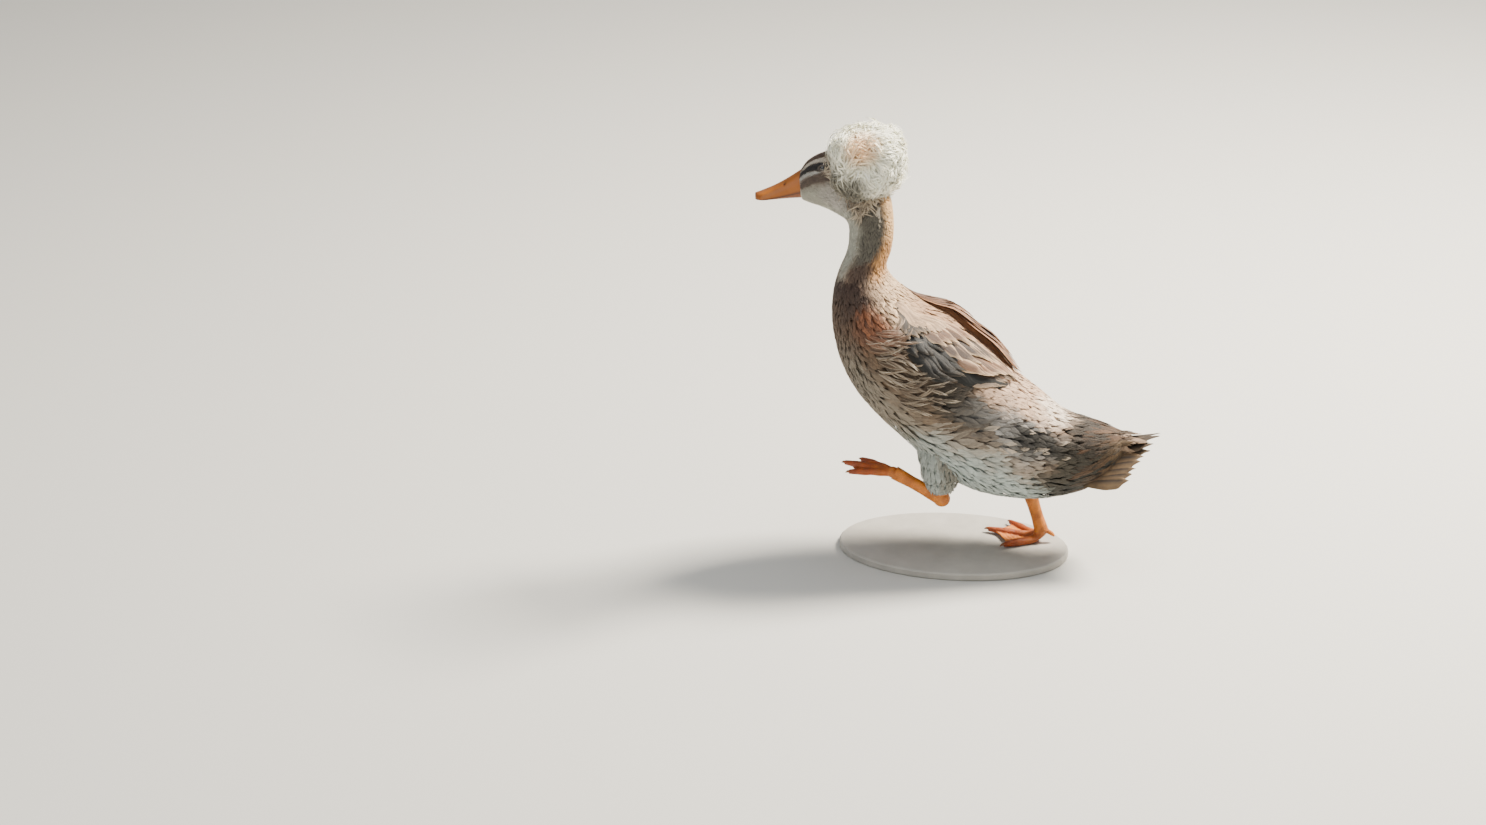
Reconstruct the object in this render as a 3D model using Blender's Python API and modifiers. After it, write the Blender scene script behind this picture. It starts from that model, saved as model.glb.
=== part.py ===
"""A crested duck in mid stride, life size, standing on one foot on a plain flat base.

Metres, +Z up. The bill points to -X and the duck's left side faces -Y. The origin is the
centre of the base's underside. Heights in the tables below are measured from the sole of
the planted foot, and one empty lifts the whole bird onto the base.
"""

import math

import bmesh
import bpy
import numpy as np
from mathutils import Matrix, Vector

# Driving dimensions
GAP = 0.0003  # between nodes that meet
BASE_LENGTH = 0.270
BASE_WIDTH = 0.170
BASE_THICKNESS = 0.009
BASE_EDGE = 0.0015
BASE_SIDES = 40
SIDES = 24  # round the trunk
CURVE_POWER = 2.25  # above 2 the trunk's sections are a little squarer than an ellipse

# The trunk from the face to the root of the tail. Each row is one section: its upper point
# (x, z), its lower point (x, z) and half its width. Sections fan round the bends.
TRUNK = [
    ((-0.1860, 0.4500), (-0.1832, 0.4180), 0.0118),  # where the bill begins
    ((-0.1770, 0.4630), (-0.1740, 0.4145), 0.0162),
    ((-0.1615, 0.4725), (-0.1620, 0.4113), 0.0205),  # the eyes
    ((-0.1390, 0.4785), (-0.1510, 0.4070), 0.0228),
    ((-0.1155, 0.4745), (-0.1405, 0.4015), 0.0235),
    ((-0.0965, 0.4580), (-0.1330, 0.3965), 0.0230),
    ((-0.0855, 0.4335), (-0.1295, 0.3893), 0.0224),  # the head meets the neck
    ((-0.0800, 0.4080), (-0.1288, 0.3795), 0.0222),
    ((-0.0785, 0.3830), (-0.1295, 0.3665), 0.0228),
    ((-0.0810, 0.3610), (-0.1330, 0.3525), 0.0245),
    ((-0.0860, 0.3415), (-0.1395, 0.3365), 0.0295),  # the neck meets the breast
    ((-0.0795, 0.3260), (-0.1450, 0.3155), 0.0390),
    ((-0.0630, 0.3140), (-0.1470, 0.2905), 0.0495),
    ((-0.0405, 0.2995), (-0.1445, 0.2620), 0.0590),
    ((-0.0140, 0.2810), (-0.1355, 0.2290), 0.0665),
    ((0.0125, 0.2605), (-0.1190, 0.1975), 0.0710),
    ((0.0390, 0.2385), (-0.0940, 0.1685), 0.0730),
    ((0.0635, 0.2175), (-0.0630, 0.1400), 0.0720),
    ((0.0860, 0.2010), (-0.0275, 0.1080), 0.0690),
    ((0.1045, 0.1870), (0.0125, 0.0812), 0.0640),
    ((0.1190, 0.1760), (0.0565, 0.0708), 0.0570),
    ((0.1330, 0.1700), (0.1000, 0.0700), 0.0490),
    ((0.1490, 0.1665), (0.1360, 0.0780), 0.0410),  # the root of the tail
    ((0.1655, 0.1610), (0.1650, 0.0920), 0.0335),
    ((0.1800, 0.1560), (0.1830, 0.1095), 0.0255),
    ((0.1900, 0.1525), (0.1935, 0.1270), 0.0160),
]
FACE, NAPE, NECK_BASE, RUMP, TAIL_END = 0.0, 6.0, 10.0, 22.0, 25.0

# Head details
EYE_RADIUS = 0.0055
EYE_X, EYE_Z = -0.1578, 0.4602
EYE_SUNK = 0.0036  # how far the eye's centre lies inside the face
LID_THICKNESS = 0.0011
SLIT_OUT, SLIT_RADII = 0.0062, (0.0049, 0.0042, 0.0036)  # the opening between the lids
BILL_LENGTH = 0.0540
BILL_HALF_WIDTH = 0.0108
CULMEN_ROOT, CULMEN_TIP = 0.4515, 0.4215
MOUTH_ROOT, MOUTH_TIP = 0.4285, 0.4160
CHIN_ROOT, CHIN_TIP = 0.4195, 0.4150
NOSTRIL_SHARE = 0.33  # of the bill's length from its root
NOSTRIL_RADII = (0.0030, 0.0026, 0.0012)

# Crest
CREST_CENTRE = Vector((-0.1085, 0.0, 0.4675))
CREST_RADII = Vector((0.0462, 0.0450, 0.0435))
CREST_CORE = 0.52  # share of the radii that the solid core fills
CREST_LOCKS = 48
LOCK_WIDTH, LOCK_THICKNESS = 0.0208, 0.0034

# Wings: on the trunk from WING_START to WING_END, between two angles from the back's ridge
WING_START, WING_END = 12.5, 17.2
WING_LOW = [(0.0, 42), (0.14, 64), (0.34, 72), (0.54, 71), (0.72, 59), (0.88, 38), (1.0, 20)]
WING_HIGH = [(0.0, 30), (0.2, 17), (0.5, 10), (1.0, 6)]
CORE_REACH = 0.60  # how far along the wing the core under the feathers goes
VANE_THICKNESS = 0.0011

# Tail
TAIL_FEATHERS = 12
# Root and tip of the middle feather, and of the outermost, which hangs lower like a roof's side
TAIL_ROOT, TAIL_TIP = Vector((0.1500, 0.0, 0.1410)), Vector((0.2380, 0.0, 0.1575))
TAIL_SIDE_ROOT, TAIL_SIDE_TIP = Vector((0.1480, 0.0250, 0.1050)), Vector((0.1975, 0.0410, 0.1105))
TAIL_TILT = 0.85  # fall of the outer feathers across their width

# Legs, from hock to sole
HOCK_L, ANKLE_L = Vector((-0.0130, -0.0345, 0.0715)), Vector((-0.0685, -0.0335, 0.1003))
HOCK_R, ANKLE_R = Vector((0.0845, 0.0265, 0.0640)), Vector((0.1025, 0.0190, 0.0125))
TIBIA_L, TIBIA_R = Vector((-0.0045, -0.0005, 0.0150)), Vector((-0.0025, 0.0005, 0.0100))  # above the hock
SHANK_RADIUS = 0.0077
TOE_LENGTHS = {"inner": 0.050, "middle": 0.066, "outer": 0.056}
TOE_RADIUS = 0.0047
HIND_TOE = [(0.002, 0.003), (0.010, -0.001), (0.015, -0.005)]  # back from and above the ankle
CLAW_LENGTH = 0.0052
WEB_THICKNESS = 0.0014
WEB_REACH, WEB_HOLLOW = 0.96, 0.15  # shares of the toes' length

# Thighs: the middle of each section and its radius, down to the hock
THIGHS = {
    "thigh_left": [
        (-0.0200, -0.0260, 0.1500, 0.0260), (-0.0160, -0.0330, 0.1200, 0.0240),
        (-0.0135, -0.0355, 0.0980, 0.0215), (-0.0135, -0.0350, 0.0870, 0.0170),
        (-0.0140, -0.0347, 0.0790, 0.0125),
    ],
    "thigh_right": [
        (0.0660, 0.0220, 0.1100, 0.0260), (0.0740, 0.0250, 0.0910, 0.0250),
        (0.0800, 0.0270, 0.0775, 0.0200), (0.0830, 0.0270, 0.0700, 0.0145),
        (0.0838, 0.0267, 0.0660, 0.0110),
    ],
}


def material(name, colour, roughness, metallic=0.0):
    """A Principled material with the part's colour."""
    made = bpy.data.materials.new(name)
    made.use_nodes = True
    shader = made.node_tree.nodes["Principled BSDF"]
    shader.inputs["Base Color"].default_value = (*colour, 1.0)
    shader.inputs["Roughness"].default_value = roughness
    shader.inputs["Metallic"].default_value = metallic
    return made


def add_object(name, mesh, collection, finish=None):
    made = bpy.data.objects.new(name, mesh)
    collection.objects.link(made)
    if finish:
        mesh.materials.append(finish)
    return made


def lofted(name, rings):
    """A closed mesh through rings of equal counts, with a flat face over each end."""
    mesh = bpy.data.meshes.new(name)
    count = len(rings[0])
    bm = bmesh.new()
    grid = [[bm.verts.new(tuple(p)) for p in ring] for ring in rings]
    for low, high in zip(grid, grid[1:]):
        for i in range(count):
            j = (i + 1) % count
            bm.faces.new((low[i], low[j], high[j], high[i]))
    bm.faces.new(grid[0][::-1])
    bm.faces.new(grid[-1])
    if bm.calc_volume(signed=True) < 0:
        bmesh.ops.reverse_faces(bm, faces=bm.faces)
    bm.to_mesh(mesh)
    bm.free()
    return mesh


def trunk_row(s):
    """Upper point, lower point and half width at a place along the trunk, by a smooth
    curve through the rows of the table."""
    rows = np.array([[*up, *low, half] for up, low, half in TRUNK])
    i = min(int(s), len(rows) - 2)
    t = s - i
    before, here = rows[max(i - 1, 0)], rows[i]
    after, beyond = rows[i + 1], rows[min(i + 2, len(rows) - 1)]
    return 0.5 * (
        2 * here
        + (after - before) * t
        + (2 * before - 5 * here + 4 * after - beyond) * t * t
        + (3 * here - before - 3 * after + beyond) * t**3
    )


def trunk_frame(s):
    """Centre, upward direction, direction towards the tail, half height and half width."""
    upper_x, upper_z, lower_x, lower_z, half = trunk_row(s)
    up = Vector((upper_x - lower_x, 0, upper_z - lower_z))
    centre = Vector((upper_x + lower_x, 0, upper_z + lower_z)) / 2
    height = up.length / 2
    up.normalize()
    return centre, up, Vector((up.z, 0, -up.x)), height, half


def trunk_point(s, angle, lift=0.0):
    """A point on the trunk's skin. The angle runs from 0 on the back to 180 degrees
    below, positive on the left side, and lift moves it out from the section."""
    centre, up, _, height, half = trunk_frame(s)
    c, d = math.cos(angle), math.sin(angle)
    rise = math.copysign(abs(c) ** (2 / CURVE_POWER), c) * (height + lift)
    side = math.copysign(abs(d) ** (2 / CURVE_POWER), d) * (half + lift)
    return centre + up * rise + Vector((0, -side, 0))


def trunk_ring(s, shift=0.0, sides=SIDES):
    """One section of the trunk, moved towards the tail by shift."""
    _, _, along, _, _ = trunk_frame(s)
    angles = [2 * math.pi * k / sides for k in range(sides)]
    return [trunk_point(s, a) + along * shift for a in angles]


def trunk_piece(name, start, end, count, collection, finish):
    """A length of the trunk whose first section stands off its neighbour by the gap."""
    places = np.linspace(start, end, count)
    rings = [trunk_ring(s, GAP if k == 0 and start > FACE else 0) for k, s in enumerate(places)]
    return add_object(name, lofted(name, rings), collection, finish)


def tube_rings(points, radii, sides, flat=1.0, side_hint=Vector((0, 1, 0))):
    """Rings round a path. flat scales each ring across the hinted side direction."""
    rings = []
    for k, point in enumerate(points):
        ahead = points[min(k + 1, len(points) - 1)] - points[max(k - 1, 0)]
        along = ahead.normalized()
        across = (side_hint - along * side_hint.dot(along)).normalized()
        other = along.cross(across)
        ring = []
        for j in range(sides):
            a = 2 * math.pi * j / sides
            ring.append(point + across * math.cos(a) * radii[k] * flat + other * math.sin(a) * radii[k])
        rings.append(ring)
    return rings


def apply_modifiers(obj):
    """Replaces an object's mesh by its evaluated one."""
    graph = bpy.context.evaluated_depsgraph_get()
    fresh = bpy.data.meshes.new_from_object(obj.evaluated_get(graph))
    obj.modifiers.clear()
    old, obj.data = obj.data, fresh
    bpy.data.meshes.remove(old)


def keep_largest(obj):
    """Keeps only the closed surface with the largest volume."""
    bm = bmesh.new()
    bm.from_mesh(obj.data)
    bmesh.ops.triangulate(bm, faces=bm.faces)
    left, groups = set(bm.faces), []
    while left:
        stack, group = [left.pop()], []
        while stack:
            face = stack.pop()
            group.append(face)
            for edge in face.edges:
                for other in edge.link_faces:
                    if other in left:
                        left.remove(other)
                        stack.append(other)
        groups.append(group)

    def volume(faces):
        return abs(sum(f.verts[0].co.dot(f.verts[1].co.cross(f.verts[2].co)) for f in faces))

    groups.sort(key=volume)
    for group in groups[:-1]:
        bmesh.ops.delete(bm, geom=group, context="FACES")
    loose = [v for v in bm.verts if not v.link_faces]
    bmesh.ops.delete(bm, geom=loose, context="VERTS")
    bm.to_mesh(obj.data)
    bm.free()


def boolean(obj, other, operation, solver="EXACT"):
    """Joins or cuts with another object, or with every object of a collection."""
    modifier = obj.modifiers.new(operation.lower(), "BOOLEAN")
    modifier.operation = operation
    modifier.solver = solver
    if isinstance(other, bpy.types.Collection):
        modifier.operand_type = "COLLECTION"
        modifier.collection = other
    else:
        modifier.object = other
    apply_modifiers(obj)


def remove(obj):
    mesh = obj.data
    bpy.data.objects.remove(obj)
    bpy.data.meshes.remove(mesh)


def swollen(obj, collection, distance=GAP):
    """A copy of an object's mesh with each point moved out, used as a cutter."""
    bm = bmesh.new()
    bm.from_mesh(obj.data)
    bm.normal_update()
    moves = [(v, v.normal * distance) for v in bm.verts]
    for v, move in moves:
        v.co += move
    mesh = bpy.data.meshes.new(obj.name + "_swollen")
    bm.to_mesh(mesh)
    bm.free()
    made = add_object(obj.name + "_swollen", mesh, collection)
    made.hide_render = True
    made.display_type = "WIRE"
    return made


def clear_of(obj, others, collection):
    """Cuts an object clear of its neighbours by the gap."""
    for other in others:
        cutter = swollen(other, collection)
        boolean(obj, cutter, "DIFFERENCE")
        remove(cutter)
    keep_largest(obj)


def ellipsoid(name, centre, radii, collection, finish=None, segments=24, rings=14):
    bm = bmesh.new()
    bmesh.ops.create_uvsphere(bm, u_segments=segments, v_segments=rings, radius=1.0)
    place = Matrix.Translation(centre) @ Matrix.Diagonal((*radii, 1.0))
    bmesh.ops.transform(bm, matrix=place, verts=bm.verts)
    mesh = bpy.data.meshes.new(name)
    bm.to_mesh(mesh)
    bm.free()
    return add_object(name, mesh, collection, finish)


def box(name, low, high, collection):
    bm = bmesh.new()
    bmesh.ops.create_cube(bm, size=1.0)
    size = Vector(high) - Vector(low)
    place = Matrix.Translation((Vector(high) + Vector(low)) / 2) @ Matrix.Diagonal((*size, 1.0))
    bmesh.ops.transform(bm, matrix=place, verts=bm.verts)
    mesh = bpy.data.meshes.new(name)
    bm.to_mesh(mesh)
    bm.free()
    made = add_object(name, mesh, collection)
    made.hide_render = True
    made.display_type = "WIRE"
    return made


def eye_centre(side):
    """The centre of an eye. side is 1 on the left and -1 on the right."""
    centre, up, _, height, half = trunk_frame(2.0)
    rise = (Vector((EYE_X, 0, EYE_Z)) - centre).dot(up) / height
    width = half * (1 - abs(rise) ** CURVE_POWER) ** (1 / CURVE_POWER)
    return Vector((EYE_X, -side * (width - EYE_SUNK), EYE_Z))


def make_head(collection, scratch, finish, eye_finish):
    """The head with its lids, and the eyes in their sockets."""
    head = trunk_piece("head", FACE, NAPE, 15, collection, finish)
    for side, name in ((1, "eye_left"), (-1, "eye_right")):
        centre = eye_centre(side)
        lid_radius = EYE_RADIUS + LID_THICKNESS
        lids = ellipsoid("lids", centre, (lid_radius,) * 3, scratch, None, 12, 8)
        boolean(head, lids, "UNION")
        remove(lids)
        eye = ellipsoid(name, centre, (EYE_RADIUS,) * 3, collection, eye_finish, 12, 8)
        # The slit between the lids is an almond cut from outside.
        slit = ellipsoid("slit", centre + Vector((0, -side * SLIT_OUT, 0)), SLIT_RADII, scratch,
                         None, 10, 6)
        boolean(head, slit, "DIFFERENCE")
        remove(slit)
        socket = swollen(eye, scratch)
        boolean(head, socket, "DIFFERENCE")
        remove(socket)
    keep_largest(head)
    return head


def bill_profile(t):
    """Culmen height, mouth height, chin height and half width at a share t of the bill's
    length from its root."""
    dip = math.sin(math.pi * t)
    culmen = CULMEN_ROOT + (CULMEN_TIP - CULMEN_ROOT) * t - 0.0022 * dip
    mouth = MOUTH_ROOT + (MOUTH_TIP - MOUTH_ROOT) * t - 0.0012 * dip
    chin = CHIN_ROOT + (CHIN_TIP - CHIN_ROOT) * t
    swell = 1.0 - 0.08 * math.sin(math.pi * min(t / 0.7, 1.0)) + 0.12 * t
    tip = math.sqrt(max(1.0 - (max(t - 0.78, 0.0) / 0.22) ** 2, 0.0))
    return culmen, mouth, chin, BILL_HALF_WIDTH * swell * tip


def make_bill(collection, scratch, finish):
    """The upper and lower halves of the bill, with the mouth line between them."""
    _, _, along, _, _ = trunk_frame(FACE)
    (top_x, top_z), (low_x, low_z), _ = TRUNK[0]
    steps = [0, 0.16, 0.33, 0.50, 0.66, 0.78, 0.87, 0.94, 0.985]
    arc = [math.pi * k / 8 for k in range(9)]
    back = [-0.6, -0.2, 0.2, 0.6]  # across the flat sides that face each other

    def root_x(z):
        """The bill's root follows the slant of the face, less the gap."""
        return low_x + (top_x - low_x) * (z - low_z) / (top_z - low_z) - GAP / along.x

    upper_rings, lower_rings = [], []
    for t in steps:
        culmen, mouth, chin, half = bill_profile(t)
        upper, lower = [], []
        for a in arc:
            z = mouth + (culmen - mouth) * math.sin(a) ** 0.85
            upper.append(Vector((root_x(z) - BILL_LENGTH * t, math.cos(a) * half, z)))
            z = mouth - GAP - (mouth - GAP - chin) * math.sin(a) ** 0.8
            lower.append(Vector((root_x(z) - BILL_LENGTH * t * 0.965, math.cos(a) * half * 0.9, z)))
        for share in back:
            x = root_x(mouth) - BILL_LENGTH * t
            upper.append(Vector((x, share * half, mouth + 0.0006 * (1 - t))))
            x = root_x(mouth) - BILL_LENGTH * t * 0.965
            lower.append(Vector((x, share * half * 0.9, mouth - GAP)))
        upper_rings.append(upper)
        lower_rings.append(lower)
    upper = add_object("bill_upper", lofted("bill_upper", upper_rings), collection, finish)
    lower = add_object("bill_lower", lofted("bill_lower", lower_rings), collection, finish)
    culmen, mouth, _, half = bill_profile(NOSTRIL_SHARE)
    for side in (1, -1):
        place = Vector((root_x(culmen) - BILL_LENGTH * NOSTRIL_SHARE, side * half * 0.62,
                        mouth + (culmen - mouth) * 0.80))
        hole = ellipsoid("nostril", place, NOSTRIL_RADII, scratch, None, 10, 6)
        boolean(upper, hole, "DIFFERENCE")
        remove(hole)
    return upper, lower


def make_shank(name, top, hock, ankle, collection, finish):
    """The bare leg: a stub out of the thigh's feathers, the knob of the hock, and the
    long part down to the ankle with a slimmer middle."""
    shares = [0.0, 0.2, 0.4, 0.65, 0.85, 1.0]
    radii = [SHANK_RADIUS * w for w in (1.14, 1.10, 0.98, 0.95, 1.05, 1.10)]
    rings = tube_rings([hock.lerp(ankle, share) for share in shares], radii, 12, flat=0.84)
    shank = add_object(name, lofted(name, rings), collection, finish)
    pieces = bpy.data.collections.new("shank_pieces")
    stub = tube_rings([top, hock], [SHANK_RADIUS * 1.05, SHANK_RADIUS * 1.15], 8, flat=0.9)
    add_object("stub", lofted("stub", stub), pieces)
    knob = SHANK_RADIUS * 1.32
    ellipsoid("knob", hock, (knob, knob * 0.88, knob), pieces, None, 10, 7)
    fuse(shank, pieces)
    return shank


def make_foot(name, ankle, forward, upward, side, spreads, droop, collection, scratch, finish):
    """Three toes with claws and webs, and a small hind toe, as one piece. side is 1 for a
    left foot. spreads are the angles of the inner, middle and outer toe."""
    outward = forward.cross(upward).normalized() * -side
    toes = {}
    for key, angle in zip(("inner", "middle", "outer"), spreads):
        way = forward * math.cos(angle) + outward * math.sin(angle)
        toes[key] = [ankle + way * TOE_LENGTHS[key] * t - upward * droop(t) for t in np.linspace(0, 1, 7)]
    pieces = bpy.data.collections.new("foot_pieces")
    for key, path in toes.items():
        radii = [TOE_RADIUS * w for w in (1.25, 1.05, 1.12, 0.92, 1.0, 0.78, 0.55)]
        toe = lofted(key, tube_rings(path, radii, 8, side_hint=outward))
        add_object(key, toe, pieces)
        tip, before = path[-1], path[-2]
        way = (tip - before).normalized()
        claw_path = [tip - way * 0.002, tip + way * 0.002, tip + way * CLAW_LENGTH - upward * 0.0008]
        add_object("claw", lofted("claw", tube_rings(claw_path, [0.0019, 0.0016, 0.0003], 6)), pieces)
    for first, second in (("inner", "middle"), ("middle", "outer")):
        add_object("web", make_web(toes[first], toes[second], upward), pieces)
    hind = [ankle - forward * back + upward * rise for back, rise in HIND_TOE]
    add_object("hind", lofted("hind", tube_rings(hind, [0.0030, 0.0027, 0.0012], 8)), pieces)
    ellipsoid("palm", ankle + forward * 0.002, (0.0078, 0.0070, 0.0062), pieces, None, 12, 8)
    first = pieces.objects["middle"]
    pieces.objects.unlink(first)
    collection.objects.link(first)
    first.name = name
    first.data.materials.append(finish)
    boolean(first, pieces, "UNION")
    for piece in list(pieces.objects):
        remove(piece)
    bpy.data.collections.remove(pieces)
    keep_largest(first)
    return first


def make_web(first, second, upward):
    """A thin closed sheet between two toes, with a hollow front edge."""
    rows = []
    for t in np.linspace(0, 1, 6):
        row = []
        for u in np.linspace(0, 1, 5):
            reach = t * (WEB_REACH - WEB_HOLLOW * math.sin(math.pi * u))
            k = reach * (len(first) - 1)
            i = min(int(k), len(first) - 2)
            a = first[i].lerp(first[i + 1], k - i)
            b = second[i].lerp(second[i + 1], k - i)
            row.append(a.lerp(b, u) - upward * 0.0008 * math.sin(math.pi * u))
        rows.append(row)
    rings = []
    for row in rows:
        top = [p + upward * WEB_THICKNESS / 2 for p in row]
        under = [p - upward * WEB_THICKNESS / 2 for p in reversed(row)]
        rings.append(top + under)
    return lofted("web", rings[1:])


def make_base(collection, finish):
    """A plain oval plate."""
    bpy.ops.mesh.primitive_cylinder_add(vertices=BASE_SIDES, radius=1.0, depth=1.0)
    base = bpy.context.object
    base.name = "stand_base"
    for owner in list(base.users_collection):
        owner.objects.unlink(base)
    collection.objects.link(base)
    size = Matrix.Diagonal((BASE_LENGTH / 2, BASE_WIDTH / 2, BASE_THICKNESS, 1.0))
    base.data.transform(Matrix.Translation((0, 0, BASE_THICKNESS / 2)) @ size)
    base.data.materials.append(finish)
    bevel = base.modifiers.new("edge", "BEVEL")
    bevel.width = BASE_EDGE
    bevel.segments = 1
    bevel.limit_method = "ANGLE"
    return base


def blade_mesh(name, rings):
    """A closed flat vane through rings of four points: left and right above, then right and
    left below. Both faces are split along the same diagonals."""
    bm = bmesh.new()
    grid = [[bm.verts.new(tuple(p)) for p in ring] for ring in rings]
    for low, high in zip(grid, grid[1:]):
        for i in range(4):
            j = (i + 1) % 4
            if i < 2:
                triangles = ((low[i], low[j], high[j]), (low[i], high[j], high[i]))
            else:
                triangles = ((low[i], low[j], high[i]), (low[j], high[j], high[i]))
            for triangle in triangles:
                bm.faces.new(triangle)
    bm.faces.new(grid[0][::-1])
    bm.faces.new(grid[-1])
    if bm.calc_volume(signed=True) < 0:
        bmesh.ops.reverse_faces(bm, faces=bm.faces)
    mesh = bpy.data.meshes.new(name)
    bm.to_mesh(mesh)
    bm.free()
    return mesh


# Across a vane: share of the half width, and share of the thickness above the middle
VANE_SECTION = [(-1, 0.5), (1, 0.5), (1, -0.5), (-1, -0.5)]


def laid_vane(path, half_widths, lifts, tilt, thickness=VANE_THICKNESS):
    """A vane that lies on the trunk. The path's points are a place along the trunk and an
    angle, lifts are heights above the skin, and tilt raises the lower edge."""
    rings = []
    for (s, angle), half, lift in zip(path, half_widths, lifts):
        step = math.radians(4)
        arc = trunk_point(s, angle + step, lift) - trunk_point(s, angle - step, lift)
        turn = half * 2 * step / arc.length
        rings.append([
            trunk_point(s, angle + side * turn, lift + tilt * side * half + level * thickness)
            for side, level in VANE_SECTION
        ])
    return blade_mesh("vane", rings)


def free_vane(path, across, half_widths, thickness=VANE_THICKNESS):
    """A vane along a path in space, flat in the direction across."""
    rings = []
    for k, (point, half) in enumerate(zip(path, half_widths)):
        along = path[min(k + 1, len(path) - 1)] - path[max(k - 1, 0)]
        side = (across - along * across.dot(along) / along.length_squared).normalized()
        up = side.cross(along).normalized()
        rings.append([point + side * half * share + up * level * thickness
                      for share, level in VANE_SECTION])
    return blade_mesh("vane", rings)


def fuse(obj, pieces):
    """Joins a collection of closed pieces to an object and removes them."""
    boolean(obj, pieces, "UNION")
    for piece in list(pieces.objects):
        remove(piece)
    bpy.data.collections.remove(pieces)
    keep_largest(obj)


def between(table, u):
    """Reads a table of pairs at u, eased between its rows."""
    for (u0, v0), (u1, v1) in zip(table, table[1:]):
        if u <= u1:
            t = (u - u0) / (u1 - u0)
            return v0 + (v1 - v0) * t * t * (3 - 2 * t)
    return table[-1][1]


def wing_place(u, v):
    """A place on the trunk for a share u along the folded wing and a share v down it."""
    high, low = between(WING_HIGH, u), between(WING_LOW, u)
    return WING_START + (WING_END - WING_START) * u, math.radians(high + (low - high) * v)


def wing_core(collection, finish):
    """The arm and the covered parts of the feathers, as one smooth low shell."""
    rings = []
    for t in np.linspace(0, 1, 9):
        rise = 0.0050 * math.sin(math.pi * (0.10 + 0.82 * t)) ** 0.6
        outer, inner = [], []
        for v in np.linspace(0.02, 0.98, 8):
            s, angle = wing_place(CORE_REACH * t, v)
            lift = rise * math.sin(math.pi * (0.08 + 0.84 * v)) ** 0.5
            outer.append(trunk_point(s, angle, lift))
            inner.append(trunk_point(s, angle, -0.004))
        rings.append(outer + inner[::-1])
    return add_object("wing_left", lofted("wing_left", rings), collection, finish)


# The wing's tiers of vanes, lowest first: how many, their first and last place down the
# wing, where their roots and their first and last tips lie along it, half width, height of
# the tips, how much higher each lies than the one below it, and bluntness
WING_TIERS = [
    (4, (0.10, 0.86), 0.50, (1.00, 0.88), 0.0074, 0.0022, 0.0015, 0.35),  # primaries
    (5, (0.08, 0.94), 0.36, (0.84, 0.64), 0.0102, 0.0044, 0.0006, 0.55),  # secondaries
    (4, (0.32, 0.92), 0.18, (0.53, 0.46), 0.0112, 0.0060, 0.0, 0.7),  # greater coverts
    (4, (0.44, 0.92), 0.03, (0.30, 0.27), 0.0105, 0.0072, 0.0, 0.7),  # lesser coverts
    (4, (0.05, 0.40), 0.05, (0.52, 0.38), 0.0092, 0.0078, 0.0006, 0.6),  # scapulars
]


def wing_vanes(rng):
    """The meshes of all the vanes of a left wing."""
    meshes = []
    for count, down, root, tips, half, lift, stack, blunt in WING_TIERS:
        for k in range(count):
            t = k / (count - 1)
            v = down[0] + (down[1] - down[0]) * t
            tip = tips[0] + (tips[1] - tips[0]) * t + rng.uniform(-0.012, 0.012)
            start = root + rng.uniform(-0.01, 0.01)
            path = [wing_place(start + (tip - start) * share, v) for share in (0, 0.42, 0.84, 1)]
            half_widths = [half * w for w in (0.7, 1.0, 0.85, 0.5 * blunt)]
            end = lift + stack * (count - 1 - k)
            lifts = [0.0014 + (end - 0.0014) * share for share in (0, 0.7, 1, 1)]
            meshes.append(laid_vane(path, half_widths, lifts, 0.22))
    return meshes


def make_wings(torso, collection, scratch, finish):
    """A folded wing on each side, the right one the mirror image of the left."""
    rng = np.random.default_rng(11)
    left = wing_core(collection, finish)
    vanes = bpy.data.collections.new("vanes")
    for mesh in wing_vanes(rng):
        add_object("vane", mesh, vanes)
    fuse(left, vanes)
    clear_of(left, [torso], scratch)
    mesh = left.data.copy()
    mesh.transform(Matrix.Diagonal((1, -1, 1, 1)))
    mesh.flip_normals()
    add_object("wing_right", mesh, collection)


def make_tail(collection, finish):
    """The tail: a short core, coverts above and below, and a fan of pointed feathers."""
    tail = trunk_piece("tail", RUMP, TAIL_END, 6, collection, finish)
    vanes = bpy.data.collections.new("vanes")
    middle = (TAIL_FEATHERS - 1) / 2
    for k in range(TAIL_FEATHERS):
        share = (k - middle) / middle
        out, mirror = abs(share), Vector((1, math.copysign(1, share), 1))
        root = TAIL_ROOT.lerp(TAIL_SIDE_ROOT, out) * mirror
        tip = TAIL_TIP.lerp(TAIL_SIDE_TIP, out**0.85) * mirror
        sink = Vector((0, 0, -0.0011 * abs(k - middle - 0.2)))
        path = [root.lerp(tip, t) + sink + Vector((0, 0, 0.004 * (t * t - t))) for t in (0.0, 0.5, 0.82, 1.0)]
        across = Vector((0, 1, -math.copysign(TAIL_TILT * min(out / 0.4, 1.0), share)))
        add_object("vane", free_vane(path, across, [0.0054, 0.0086, 0.0076, 0.0018]), vanes)
    tiers = [
        {"count": 4, "angles": (-52, 52), "s": (22.2, 24.25), "lift": 0.0024, "half": 0.0095},
        {"count": 3, "angles": (-33, 33), "s": (23.1, 24.95), "lift": 0.0020, "half": 0.0078},
        {"count": 5, "angles": (110, 250), "s": (22.2, 24.2), "lift": 0.0044, "half": 0.0105},
        {"count": 4, "angles": (122, 238), "s": (23.0, 24.95), "lift": 0.0050, "half": 0.0088},
    ]
    for tier in tiers:
        for angle in np.radians(np.linspace(*tier["angles"], tier["count"])):
            places = np.interp((0, 0.4, 0.75, 1), (0, 1), tier["s"])
            halves = [tier["half"] * w for w in (0.8, 1.0, 0.8, 0.25)]
            lifts = [tier["lift"] * w for w in (-0.2, 0.5, 1.0, 1.15)]
            vane = laid_vane([(s, angle) for s in places], halves, lifts, 0.0, 0.0013)
            add_object("vane", vane, vanes)
    fuse(tail, vanes)
    return tail


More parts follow.
